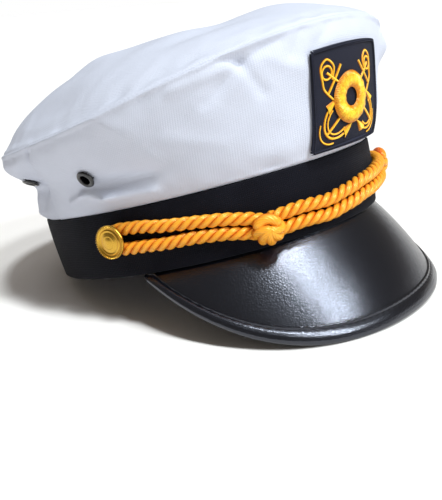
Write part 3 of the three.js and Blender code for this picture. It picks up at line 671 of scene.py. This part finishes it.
peak = laid_grid("peak_board", 180, 60, peak_board, (190, 62))
give_wall(peak, PEAK_BOARD, 0.3)
dress(peak, vinyl, "peak_vinyl", "peak")

# Binding: a strip of the same vinyl, 9.4 mm wide, folded over the peak's edge and sewn through near
# its inner edge. The stitches sit in a groove and the strip swells between them and the edge.
BINDING_WIDTH = 9.4
BINDING_HALF_LENGTH = 97
STITCH = 3.0
STITCH_LINE = 7.7
# share of the way over the strip, distance from the edge and height over the board's middle
BINDING_OUTLINE = np.array(
    [
        (0.0, 9.4, 0.85),
        (0.03, 9.5, 1.3),
        (0.08, 9.1, 1.75),
        (0.14, 8.3, 1.8),
        (0.18, 7.7, 1.4),
        (0.22, 7.1, 1.8),
        (0.3, 5.6, 2.3),
        (0.38, 3.6, 2.5),
        (0.46, 1.6, 2.2),
        (0.52, 0.3, 1.3),
        (0.56, -0.1, 0.2),
        (0.6, 0.3, -1.1),
        (0.68, 1.8, -2.1),
        (0.8, 4.6, -2.2),
        (0.92, 8.2, -1.7),
        (0.97, 9.3, -1.4),
        (1.0, 9.3, -0.85),
    ]
)


def binding_strip(s, t):
    """The strip along the edge in s, and from its upper inner edge round to its lower one in t."""
    side = 0.985 * (1 - 2 * s)
    length = peak_length(side)
    width = np.minimum(BINDING_WIDTH, length - 0.6)
    swell = width / BINDING_WIDTH
    from_edge = np.interp(t, BINDING_OUTLINE[:, 0], BINDING_OUTLINE[:, 1])
    inward = from_edge * swell
    off = np.interp(t, BINDING_OUTLINE[:, 0], BINDING_OUTLINE[:, 2])
    off = lerp(np.sign(off) * 0.9, off, 0.35 + 0.65 * swell)
    along = (1 - 2 * s) * BINDING_HALF_LENGTH
    sewn = hill(from_edge - STITCH_LINE, 0.8) * (off > 0)
    dimple = -0.33 * sewn * (0.5 + 0.5 * np.cos(2 * math.pi * along / STITCH))
    at = peak_point(side, 1 - inward / length)
    lift = off + dimple + 0.12 * unevenness(at, 24, 21) * ease(off, 0, 2)
    return at + peak_normal(side, 1 - inward / length) * (lift - PEAK_BOARD / 2)[:, None]


binding = laid_grid("peak_binding_strip", 420, 48, binding_strip, (200, 25))
dress(binding, vinyl, "peak_vinyl", "peak_binding")

# Cord: gold rayon, 6.6 mm thick, three plies twisted together with 15.6 mm to a turn. Two strands
# lie over the band from knot to knot, and from each knot a loop goes round its button.
CORD = 6.6
CORD_TURN = 15.6
# how far the middles of three round plies that touch lie off the cord's, in radii of a ply
PLY_OFF = 1.155
PLY = CORD / 2 / (1 + PLY_OFF)
KNOT_AT = 39
KNOT_GAP = 0.8
BUTTON_AT = 83
# azimuth, height of the two strands' middle as a share of the band's, how many diameters apart
CORD_ROUTE = np.array(
    [
        (-83, 0.6, 1.55),
        (-75, 0.585, 1.5),
        (-67, 0.54, 1.3),
        (-60, 0.52, 1.12),
        (-52, 0.475, 1.06),
        (-45, 0.4, 1.06),
        (-39, 0.31, 1.06),
        (-28, 0.34, 1.06),
        (-18, 0.31, 1.06),
        (-10, 0.355, 1.06),
        (0, 0.41, 1.06),
        (18, 0.47, 1.06),
        (39, 0.52, 1.06),
        (52, 0.55, 1.06),
        (60, 0.56, 1.12),
        (75, 0.585, 1.5),
        (83, 0.6, 1.55),
    ]
)


def strand_point(azimuth, strand):
    """A place along the middle of the upper strand, for 1, or of the lower one, for -1."""
    middle = column(CORD_ROUTE, 1, azimuth) * BAND_HEIGHT
    half = column(CORD_ROUTE, 2, azimuth) * CORD / 2
    return band_point(azimuth, (middle + strand * half) / BAND_HEIGHT, CORD / 2 + SEAM)


def lengths(path):
    """How far along a path each of its points is."""
    return np.r_[0, np.cumsum(np.linalg.norm(np.diff(path, axis=0), axis=1))]


def in_steps(path, count):
    """A path again, as so many points at even steps."""
    far = lengths(path)
    steps = np.linspace(0, far[-1], count)
    return np.stack([np.interp(steps, far, row) for row in path.T], -1)


def evenly(path, spacing, soften):
    """A path again at even steps of spacing mm, after rounding its bends over soften mm."""
    path = in_steps(path, max(4, round(lengths(path)[-1] / spacing)) + 1)
    count = max(1, round(soften / spacing))
    kernel = np.hanning(2 * count + 3)[1:-1]
    padded = np.pad(path, ((count, count), (0, 0)), mode="reflect", reflect_type="odd")
    mixed = [np.convolve(row, kernel / kernel.sum(), "valid") for row in padded.T]
    path = np.stack(mixed, -1)
    return in_steps(path, max(4, round(lengths(path)[-1] / spacing)) + 1)


def square_to(path, outward):
    """Two directions square to a path at each point. The first is as near outward as can be."""
    along = unit(np.gradient(path, axis=0))
    out = unit(outward - (outward * along).sum(-1, keepdims=True) * along)
    return out, np.cross(out, along)


def tube(name, path, outward, radius, sides=10):
    """A closed round tube along a path in mm. outward is about where its upper side faces."""
    out, side = square_to(path, outward)
    far = lengths(path)[-1]
    last = len(path) - 1
    from_end = np.minimum(np.arange(last + 1), np.arange(last, -1, -1)) * far / last
    rounded = np.sqrt(np.clip(1 - (1 - np.clip(from_end / radius, 0, 1)) ** 2, 0, 1)) * radius

    def skin_of_tube(s, t):
        at = np.rint(s * last).astype(int)
        angle = 2 * math.pi * t
        ring = np.cos(angle)[:, None] * out[at] + np.sin(angle)[:, None] * side[at]
        return path[at] + ring * rounded[at][:, None]

    return laid_grid(name, last, sides, skin_of_tube, (far, 2 * math.pi * PLY), joined=True)


def joined_pieces(name, pieces):
    alone(pieces[0])
    for piece in pieces:
        piece.select_set(True)
    bpy.ops.object.join()
    whole = bpy.context.object
    whole.name = whole.data.name = name
    return whole


def twisted(name, path, outward, phase=0.0):
    """Three plies laid round a path, rising to the right as seen from outside. They are 6% thicker
    than plies that just touch, as they press into each other."""
    out, side = square_to(path, outward)
    plies = []
    for k in range(3):
        angle = 2 * math.pi * (lengths(path) / CORD_TURN + k / 3) + phase
        radial = np.cos(angle)[:, None] * out + np.sin(angle)[:, None] * side
        plies.append(tube(name, path + radial * PLY * PLY_OFF, radial, PLY * 1.06))
    return joined_pieces(name, plies)


def out_of_band(path):
    """The way out of the band at each point of a path that lies on it."""
    return band_normal(np.degrees(np.arctan2(path[:, 0] / HALF_WIDTH, -path[:, 1] / HALF_LENGTH)))


# Rayon is a bright silky thread, saturated orange gold. Its colour is painted pale on the outer
# side of each ply, as painted light, and deep orange down between the plies, as painted shade. Its
# fine yarns run along each ply and are drawn 0.6 mm apart.
rayon = new_material("gold_rayon_cord")
lie = node(rayon, "TexCoord", {})
around = node(rayon, "SeparateXYZ", {"Vector": lie.outputs["UV"]})
facing = node(rayon, "Math", {"operation": "MULTIPLY", 0: around.outputs["Y"], 1: 1 / PLY})
outer_side = node(rayon, "Math", {"operation": "COSINE", 0: facing.outputs[0]})
depth = node(rayon, "MapRange", {"Value": outer_side.outputs[0], "From Min": -0.3, "From Max": 0.9})
slant = node(rayon, "Mapping", {"Vector": lie.outputs["UV"], "Rotation": (0, 0, math.radians(18))})
yarns = node(
    rayon,
    "TexWave",
    {
        "bands_direction": "Y",
        "Scale": bands(0.6),
        "Distortion": 0.6,
        "Detail": 1,
        "Vector": slant.outputs[0],
    },
)
# Painted light and shade: pale where each ply faces out, deep orange in the creases between plies.
painted_ply_light_and_shade = node(
    rayon,
    "Mix",
    {"data_type": "RGBA", 0: depth.outputs[0], 6: linear("#dc5a0a"), 7: linear("#ffaa2e")},
)
yarn_tint = node(
    rayon,
    "Mix",
    {
        "data_type": "RGBA",
        "blend_type": "MULTIPLY",
        0: 0.2,
        6: painted_ply_light_and_shade.outputs[2],
        7: yarns.outputs["Color"],
    },
)
yarn_bump = node(
    rayon,
    "Bump",
    {"Strength": 0.6, "Distance": 0.15 * MM, "Height": yarns.outputs["Fac"]},
)
node(
    rayon,
    "Shader",
    {
        "Base Color": yarn_tint.outputs[2],
        "Roughness": 0.32,
        "Normal": yarn_bump.outputs[0],
        "Specular IOR Level": 1.0,
        "Specular Tint": linear("#ffe9a0"),
    },
)

for strand, name in ((1, "cord_front_upper"), (-1, "cord_front_lower")):
    azimuths = np.linspace(-KNOT_AT + KNOT_GAP, KNOT_AT - KNOT_GAP, 300)
    path = evenly(strand_point(azimuths, strand), 0.8, 5)
    cord = twisted(name + "_plies", path, out_of_band(path), phase=strand)
    dress(cord, rayon, "gold_cord", name)

for hand, name in ((-1, "cord_loop_right"), (1, "cord_loop_left")):
    # The two strands run to just short of the button, and a half circle joins them round it.
    azimuths = hand * np.linspace(KNOT_AT + KNOT_GAP, BUTTON_AT * 0.96, 120)
    upper, lower = strand_point(azimuths, 1), strand_point(azimuths, -1)
    at, across, rise, outward = frame_on(band_point, hand * BUTTON_AT, CORD_ROUTE[0, 1])
    bend = np.radians(np.linspace(90, -90, 60))[:, None]
    radius = CORD_ROUTE[0, 2] * CORD / 2
    middle = at + outward * (CORD / 2 + SEAM)
    turn = middle + radius * (hand * np.cos(bend) * across + np.sin(bend) * rise)
    path = evenly(np.concatenate([upper, turn, lower[::-1]]), 0.8, 7)
    cord = twisted(name + "_plies", path, out_of_band(path))
    dress(cord, rayon, "gold_cord", name)

# Knots: the same rayon cord worked into a tight ball over both strands. Five short turns run from
# its middle down over the sides like the petals of a flower, and one lies round its top.
KNOT_HALF = 6.3
KNOT_MIDDLE = 6.4
KNOT_DEPTH = 4.6
# angle round the ball and radius of each short turn
KNOT_PETALS = [(184, 2.3), (225, 2.35), (266, 2.3), (307, 2.35), (348, 2.3)]
# angle round the ball and degrees from its front of places along the turn round its top
KNOT_TOP = [(172, 60), (145, 62), (108, 56), (72, 50), (38, 50), (8, 64)]
KNOT_TOP_RADIUS = 2.7


def on_knot(angle, from_front):
    """A place in the ball, in mm across, up and out: its angle and how far from its front."""
    angle, from_front = np.radians(angle), np.radians(from_front)
    side = KNOT_HALF * np.sin(from_front)
    out = KNOT_MIDDLE + KNOT_DEPTH * np.cos(from_front)
    return np.stack([side * np.cos(angle), side * np.sin(angle), out], -1)


def through(points, count=60):
    """A smooth curve through a few points."""
    points = np.array(points, float)
    ends = [2 * points[0] - points[1], *points, 2 * points[-1] - points[-2]]
    t = np.linspace(0, len(points) - 1, count)
    i = np.minimum(t.astype(int), len(points) - 2)
    f = (t - i)[:, None]
    a, b, c, d = (np.array(ends)[i + k] for k in range(4))
    return b + 0.5 * f * (c - a + f * (2 * a - 5 * b + 4 * c - d + f * (3 * (b - c) + d - a)))


for hand, name in ((-1, "knot_right"), (1, "knot_left")):
    up = float(column(CORD_ROUTE, 1, np.array([float(hand * KNOT_AT)]))[0])
    at, across, rise, outward = frame_on(band_point, hand * KNOT_AT, up)
    basis = np.stack([-hand * across, rise, outward])
    runs = [(KNOT_TOP_RADIUS, through(on_knot(*np.array(KNOT_TOP, float).T)))]
    for angle, radius in KNOT_PETALS:
        runs.append((radius, on_knot(angle + np.linspace(-25, 20, 40), np.linspace(-12, 125, 40))))
    turns = []
    for radius, points in runs:
        path = evenly(at + points @ basis, 0.7, 1.5)
        # This is a bit off outward, because a turn runs straight inwards halfway down the side.
        facing = np.broadcast_to(outward, path.shape) + 0.01
        turns.append(tube(name, path, facing, radius, 14))
    knot = joined_pieces(name + "_turns", turns)
    dress(knot, rayon, "gold_cord", name)

# Buttons: stamped brass, gilt, 17.4 mm across, on a shank that is sewn to the band. The head has a
# rope edge, a sunk ring and a raised middle.
BUTTON_PROFILE = [
    (1.5, 0.3),
    (1.5, 7.3),
    (7.6, 7.35),
    (8.5, 8.0),
    (8.7, 8.7),
    (8.5, 9.3),
    (8.0, 9.7),
    (7.4, 9.6),
    (7.0, 9.2),
    (6.7, 9.15),
    (6.4, 9.5),
    (6.0, 9.75),
    (5.6, 9.6),
    (5.2, 9.45),
    (4.0, 9.9),
    (3.3, 10.2),
    (3.0, 10.1),
    (2.7, 10.2),
    (1.6, 10.55),
    (0.6, 10.7),
    (0.001, 10.72),
]
# the rope edge is a row of leaning beads: their half-sizes, lean, and the row's radius and height
BEADS = 44
BEAD_SIZE = (0.75, 0.36, 0.45)
BEAD_LEAN = 0.6
BEAD_RING = 8.05
BEAD_HEIGHT = 9.65
gilt = new_material("gilt_stamped_brass")
# Old gold: the plating's colour and shine vary in soft random patches, from dull to polished.
tarnish = node(gilt, "TexNoise", {"Scale": 700, "Detail": 3})
wear = node(gilt, "MapRange", {"Value": tarnish.outputs["Fac"], "To Min": 0.18, "To Max": 0.4})
gilt_tint = node(
    gilt,
    "Mix",
    {"data_type": "RGBA", 0: tarnish.outputs["Fac"], 6: linear("#a97f28"), 7: linear("#f2c254")},
)
node(
    gilt,
    "Shader",
    {"Base Color": gilt_tint.outputs[2], "Metallic": 1, "Roughness": wear.outputs[0]},
)

for hand, name in ((-1, "button_right"), (1, "button_left")):
    at, across, rise, outward = frame_on(band_point, hand * BUTTON_AT, CORD_ROUTE[0, 1])
    head = turned(name, BUTTON_PROFILE, 64, at, across, rise, outward)
    beads = []
    for k in range(BEADS):
        angle = 2 * math.pi * k / BEADS
        bpy.ops.mesh.primitive_ico_sphere_add(subdivisions=1, radius=1)
        bead = bpy.context.object
        flat = np.array([vertex.co for vertex in bead.data.vertices]) * BEAD_SIZE
        lean = angle + BEAD_LEAN
        cos, sin = math.cos(lean), math.sin(lean)
        rolled = flat @ np.array([(cos, sin, 0), (-sin, cos, 0), (0, 0, 1)])
        rolled += (BEAD_RING * math.cos(angle), BEAD_RING * math.sin(angle), BEAD_HEIGHT)
        placed = at + rolled @ np.stack([across, rise, outward])
        bead.data.vertices.foreach_set("co", on_table(placed).ravel())
        beads.append(bead)
    button = joined_pieces(name + "_stamped", [head, *beads])
    dress(button, gilt, "gilt_brass", name)

# Badge: a panel of dark navy twill, 57 by 47 mm, sewn to the front of the crown. Its edge is
# overlocked all round with thick thread.
BADGE_WIDTH = 57
BADGE_HEIGHT = 47
BADGE_ASIDE = 3
BADGE_OVER_BAND = 3
BADGE_THICK = 1.4
BADGE_GAP = 0.45
BADGE_CORNER = 1.7
BADGE_INSET = 1.2
BADGE_EDGE = 2.2


def on_badge(x, y, off):
    """A place on the badge: x across from its middle, y up from its lower edge, off its face."""
    x, y, off = np.broadcast_arrays(x, y, off)
    up = (BADGE_OVER_BAND + y) / RISE_FRONT
    low, high = np.full(x.shape, -60.0), np.full(x.shape, 60.0)
    for _ in range(22):
        middle = (low + high) / 2
        short = wall_point(middle, up)[..., 0] < x - BADGE_ASIDE
        low, high = np.where(short, middle, low), np.where(short, high, middle)
    at = wall_point(middle, up)
    along = wall_point(middle + 0.01, up) - at
    outward = unit(np.cross(along, wall_point(middle, up + 0.001) - at))
    return at + outward * (BADGE_GAP + BADGE_THICK + off)[..., None]


twill = new_material("navy_cotton_twill")
# Twill shows fine diagonal ribs. They are 0.5 mm apart and are drawn at 0.8 mm.
ribbed = node(twill, "TexCoord", {})
diagonal = node(
    twill,
    "Mapping",
    {"Vector": ribbed.outputs["UV"], "Rotation": (0, 0, math.radians(52))},
)
ribs = node(
    twill,
    "TexWave",
    {"Scale": bands(0.8), "Distortion": 0.3, "Vector": diagonal.outputs[0]},
)
rib_tint = node(
    twill,
    "Mix",
    {"data_type": "RGBA", 0: ribs.outputs["Fac"], 6: linear("#0b0c14"), 7: linear("#282a3a")},
)
rib_bump = node(
    twill,
    "Bump",
    {"Strength": 0.8, "Distance": 0.12 * MM, "Height": ribs.outputs["Fac"]},
)
node(
    twill,
    "Shader",
    {
        "Base Color": rib_tint.outputs[2],
        "Roughness": 0.8,
        "Normal": rib_bump.outputs[0],
        "Specular IOR Level": 0.2,
    },
)


def badge_panel(s, t):
    width, height = BADGE_WIDTH - 2 * BADGE_INSET, BADGE_HEIGHT - 2 * BADGE_INSET
    return on_badge((s - 0.5) * width, BADGE_INSET + t * height, 0.0)


panel = laid_grid("badge_twill", 60, 50, badge_panel, (BADGE_WIDTH, BADGE_HEIGHT))
give_wall(panel, BADGE_THICK)

# Every stitch is a copy of this small grid, which is taken apart into its points and faces.
bpy.ops.mesh.primitive_grid_add(x_subdivisions=6, y_subdivisions=3, size=2)
one_stitch = bpy.context.object
STITCH_GRID = np.array([vertex.co[:2] for vertex in one_stitch.data.vertices])
STITCH_FACES = np.array([face.vertices[:] for face in one_stitch.data.polygons])
bpy.data.objects.remove(one_stitch)


def stitches(name, left, right, rise, thread, base=0.1):
    """Satin stitches laid side by side on the badge, each from its left to its right point. They
    arch up by rise and are thread mm wide. Their UV runs from 0 to pi along a stitch, and from one
    stitch to the next in steps of 1."""
    across, over = (STITCH_GRID.T + 1) / 2
    row = unit(np.gradient((left + right) / 2, axis=0))
    flat = lerp(left[:, None], right[:, None], across[None, :, None])
    flat = flat + row[:, None] * ((over - 0.5) * thread)[None, :, None]
    arch = rise[:, None] * (1 - np.abs(2 * across - 1) ** 2.6)[None]
    rolled = thread * 0.42 * np.sin(math.pi * np.clip(over, 0, 1))[None]
    high = base + (arch + rolled) * (across * (1 - across) > 0)[None]
    points = on_badge(flat[..., 0], flat[..., 1], high)
    mesh = bpy.data.meshes.new(name)
    count = len(STITCH_GRID)
    faces = (STITCH_FACES[None] + np.arange(len(left))[:, None, None] * count).reshape(-1, 4)
    mesh.from_pydata(on_table(points.reshape(-1, 3)).tolist(), [], faces.tolist())
    mesh.uv_layers.new(name="UVMap")
    order = np.arange(len(left))[:, None]
    uv = np.stack([np.tile(across * math.pi, (len(left), 1)), order + 0.3 * over[None]], -1)
    corners = np.array([loop.vertex_index for loop in mesh.loops])
    mesh.uv_layers.active.data.foreach_set("uv", uv.reshape(-1, 2)[corners].ravel())
    mesh.validate()
    piece = bpy.data.objects.new(name, mesh)
    bpy.context.collection.objects.link(piece)
    return piece


def ribbon(name, line, width, spacing=0.42, rise=0.5, slant=0.35, base=0.1):
    """Satin stitches across a line; width is in mm, one value or a function of the share along. A
    broad line stands higher than a thin one."""
    line = np.array(line, float)
    line = in_steps(line, max(3, round(lengths(line)[-1] / spacing)))
    share = np.linspace(0, 1, len(line))
    along = unit(np.gradient(line, axis=0))
    across = np.stack([-along[:, 1], along[:, 0]], -1)
    wide = width(share) if callable(width) else np.full(len(line), float(width))
    lead = along * (wide * slant / 2)[:, None]
    left = line + across * (wide / 2)[:, None] + lead
    right = line - across * (wide / 2)[:, None] - lead
    lifted = rise * np.clip(wide / 1.4, 0.6, 1.6)
    return stitches(name, left, right, lifted, spacing * 1.15, base)


def rounded_edge(inset):
    """The badge's outline, inset by so many mm, with rounded corners."""
    half, high = BADGE_WIDTH / 2 - inset, BADGE_HEIGHT - inset
    radius = BADGE_CORNER - inset
    corners = [
        (half - radius, inset + radius, -90),
        (half - radius, high - radius, 0),
        (radius - half, high - radius, 90),
        (radius - half, inset + radius, 180),
    ]
    line = []
    for x, y, start in corners:
        for angle in np.radians(np.linspace(start, start + 90, 10)):
            line.append((x + radius * math.cos(angle), y + radius * math.sin(angle)))
    return np.array([*line, line[0]])


edge = ribbon(
    "badge_edge",
    rounded_edge(BADGE_EDGE / 2),
    BADGE_EDGE,
    spacing=0.8,
    rise=0.7,
    slant=0.3,
    base=-0.4,
)
badge = joined_pieces("badge_twill", [panel, edge])
dress(badge, twill, "badge_cloth", "badge")

# Lifebuoy: a ring of gold satin stitches, from the hole to the rim, padded so that it stands over
# the anchors, which cross behind it.
embroidery = new_material("gold_rayon_embroidery")
# Embroidery thread is flat shiny rayon. Its colour is painted: golden yellow where a stitch arches,
# as a painted highlight, and orange where it dives into the cloth, as painted shade. How strong the
# painted highlight is changes at random from stitch to stitch.
fibre = node(embroidery, "TexCoord", {})
stitch_highlight_noise = node(embroidery, "TexNoise", {"Scale": 2.4, "Detail": 2, "Vector": fibre.outputs["UV"]})
along_stitch = node(embroidery, "SeparateXYZ", {"Vector": fibre.outputs["UV"]})
arched = node(embroidery, "Math", {"operation": "SINE", 0: along_stitch.outputs["X"]})
lit = node(
    embroidery,
    "Math",
    {"operation": "MULTIPLY", 0: arched.outputs[0], 1: stitch_highlight_noise.outputs["Fac"]},
)
bright = node(embroidery, "MapRange", {"Value": lit.outputs[0], "From Min": 0.12, "From Max": 0.52})
# Painted highlight on each stitch's arch and painted shade at its ends, stronger or weaker per
# stitch.
painted_thread_light_and_shade = node(
    embroidery,
    "Mix",
    {"data_type": "RGBA", 0: bright.outputs[0], 6: linear("#cc7406"), 7: linear("#ffd136")},
)
node(
    embroidery,
    "Shader",
    {
        "Base Color": painted_thread_light_and_shade.outputs[2],
        "Roughness": 0.32,
        "Specular IOR Level": 0.9,
        "Specular Tint": linear("#ffeaa0"),
    },
)
# its middle on the badge, radii of its hole and rim in mm, and how many stitches
BUOY = np.array([-5.2, BADGE_HEIGHT * 0.465])
BUOY_HOLE = 4.3
BUOY_RIM = 12.1
BUOY_STITCHES = 90
turned_to = np.linspace(0, 2 * math.pi, BUOY_STITCHES + 1)[:-1]
spokes = np.stack([np.cos(turned_to), np.sin(turned_to)], -1)
buoy = stitches(
    "badge_lifebuoy_stitches",
    BUOY + spokes * BUOY_HOLE,
    BUOY + spokes * BUOY_RIM,
    rise=1.5 + 0.25 * np.sin(7.3 * np.arange(BUOY_STITCHES)),
    thread=0.72,
    base=1.0,
)
dress(buoy, embroidery, "gold_thread", "badge_lifebuoy")

# Anchors: two crossed anchors in satin stitch, each with a rope through its ring. They lie flat on
# the twill. Crown, eye and rope are shares of the badge's half-width and height.
LINE = 1.1
ANCHORS_ASIDE = -3
ANCHOR_CROWN = (-0.64, 0.16)
ANCHOR_EYE = (0.59, 0.755)
ROPE = [
    (0.48, 0.68),
    (0.43, 0.8),
    (0.57, 0.88),
    (0.71, 0.82),
    (0.69, 0.68),
    (0.65, 0.59),
    (0.47, 0.47),
]
# The rest are shares of an anchor's length, from its crown at 0 up to its eye.
STOCK_UP = 0.865
STOCK_HALF = 0.16
ARM_RISE = 0.23
ARM_SPREAD = 0.18
FLUKE_LENGTH = 0.16
FLUKE_WIDTH = 0.1
RING = 0.055
# rise, spread and share of LINE of the two lines that the arms are made of
ARMS = [(ARM_RISE, ARM_SPREAD, 1.0), (0.16, 0.13, 0.8)]


def on_figure(hand, spot):
    """A place on the badge for one of the two anchors, which mirror each other."""
    return np.array([hand * spot[0] * BADGE_WIDTH / 2 + ANCHORS_ASIDE, spot[1] * BADGE_HEIGHT])


lines = []
for hand in (1, -1):
    crown, eye = on_figure(hand, ANCHOR_CROWN), on_figure(hand, ANCHOR_EYE)
    length = np.linalg.norm(eye - crown)
    along = (eye - crown) / length
    aside = np.array([-along[1], along[0]])

    def at_anchor(up, side):
        return crown + length * (np.multiply.outer(up, along) + np.multiply.outer(side, aside))

    # The shank is left out where it would show through the lifebuoy's hole.
    shank = at_anchor(np.linspace(0, 1, 60), np.zeros(60))
    seen = np.linalg.norm(shank - BUOY, axis=1) > BUOY_HOLE + 1.2
    for half in (shank[seen & (np.arange(60) < 30)], shank[seen & (np.arange(60) >= 30)]):
        if len(half) > 2:
            lines.append(ribbon("shank", half, LINE * 1.2))
    stock = at_anchor(np.full(2, STOCK_UP), np.array([-STOCK_HALF, STOCK_HALF]))
    lines.append(ribbon("stock", stock, LINE * 1.2))
    bend = np.radians(np.linspace(-90, 90, 40))
    for rise, spread, width in ARMS:
        up = rise * (1 - np.cos(bend)) + (ARM_RISE - rise) * 0.6
        lines.append(ribbon("arms", at_anchor(up, spread * np.sin(bend)), LINE * width))
    # A shorter line runs under the arms.
    low = bend[8:32]
    underline = at_anchor(0.2 * (1 - np.cos(low)) - 0.07, 0.17 * np.sin(low))
    lines.append(ribbon("underline", underline, 0.8))
    for side in (-1, 1):
        up = ARM_RISE + FLUKE_LENGTH * np.array([-0.4, 0.6])
        tips = at_anchor(up, side * np.full(2, ARM_SPREAD))
        lines.append(ribbon("fluke", tips, lambda share: FLUKE_WIDTH * length * (1.05 - share)))
    turn = np.linspace(0, 2 * math.pi, 30)
    reach = RING + LINE / length / 2
    lines.append(ribbon("ring", at_anchor(1 + reach * np.cos(turn), reach * np.sin(turn)), LINE))
    lines.append(ribbon("rope", through([on_figure(hand, spot) for spot in ROPE], 80), LINE))
anchors = joined_pieces("badge_anchor_stitches", lines)
dress(anchors, embroidery, "gold_thread", "badge_anchors")

# Studio: a plain white table under soft light. A tall cool window in front leaves a long streak on
# the peak, and a weak light is overhead.
bpy.ops.mesh.primitive_plane_add(size=60)
table = bpy.context.object
table.name = "table"
matt_white = new_material("matt_white_table")
node(matt_white, "Shader", {"Base Color": linear("#f0ece8"), "Roughness": 0.9})
table.data.materials.append(matt_white)

room = bpy.data.worlds.new("white_room")
bpy.context.scene.world = room
room.use_nodes = True
# The room is white just over the table's far edge, and dim and a bit warm above.
towards = node(room, "TexCoord", {})
upwards = node(room, "SeparateXYZ", {"Vector": towards.outputs["Generated"]})
lifted = node(room, "MapRange", {"Value": upwards.outputs["Z"], "From Min": 0.06, "From Max": 0.14})
glow = node(
    room,
    "Mix",
    {"data_type": "RGBA", 0: lifted.outputs[0], 6: (1, 1, 1, 1), 7: (0.19, 0.17, 0.145, 1)},
)
room.node_tree.links.new(glow.outputs[2], room.node_tree.nodes["Background"].inputs["Color"])


def soft_light(name, azimuth, height, spread, power, colour):
    """Even light from a bright disc, spread degrees across, at an azimuth and height in degrees."""
    bpy.ops.object.light_add(type="SUN", location=(0, 0, 1))
    light = bpy.context.object
    light.name = name
    light.rotation_euler = (math.radians(90 - height), 0, math.radians(azimuth))
    light.data.angle = math.radians(spread)
    light.data.energy = power
    light.data.color = colour


# azimuth, height and power of the three discs that stand for the tall window
WINDOW = [(2, 36, 1.35), (-5, 52, 1.45), (-14, 68, 1.9)]
for azimuth, height, power in WINDOW:
    soft_light("window", azimuth, height, 8, power, (0.9, 0.96, 1.0))
soft_light("overhead", 60, 78, 60, 0.3, (0.97, 0.98, 1.0))

# The camera is off the cap's right front, about as high as its top, and leans a bit.
bpy.ops.object.camera_add()
camera = bpy.context.object
camera.data.lens = 53.8
camera.data.sensor_width = 36
right = Vector((0.60205, -0.79483, -0.07598))
above = Vector((0.29906, 0.13623, 0.94443))
backward = right.cross(above)
turn = Matrix((right, above, backward)).transposed().to_4x4()
stands_at = Vector((-0.33349, -0.26420, 0.15723))
camera.matrix_world = Matrix.Translation(stands_at) @ turn
bpy.context.scene.camera = camera
bpy.context.scene.view_settings.view_transform = "Standard"
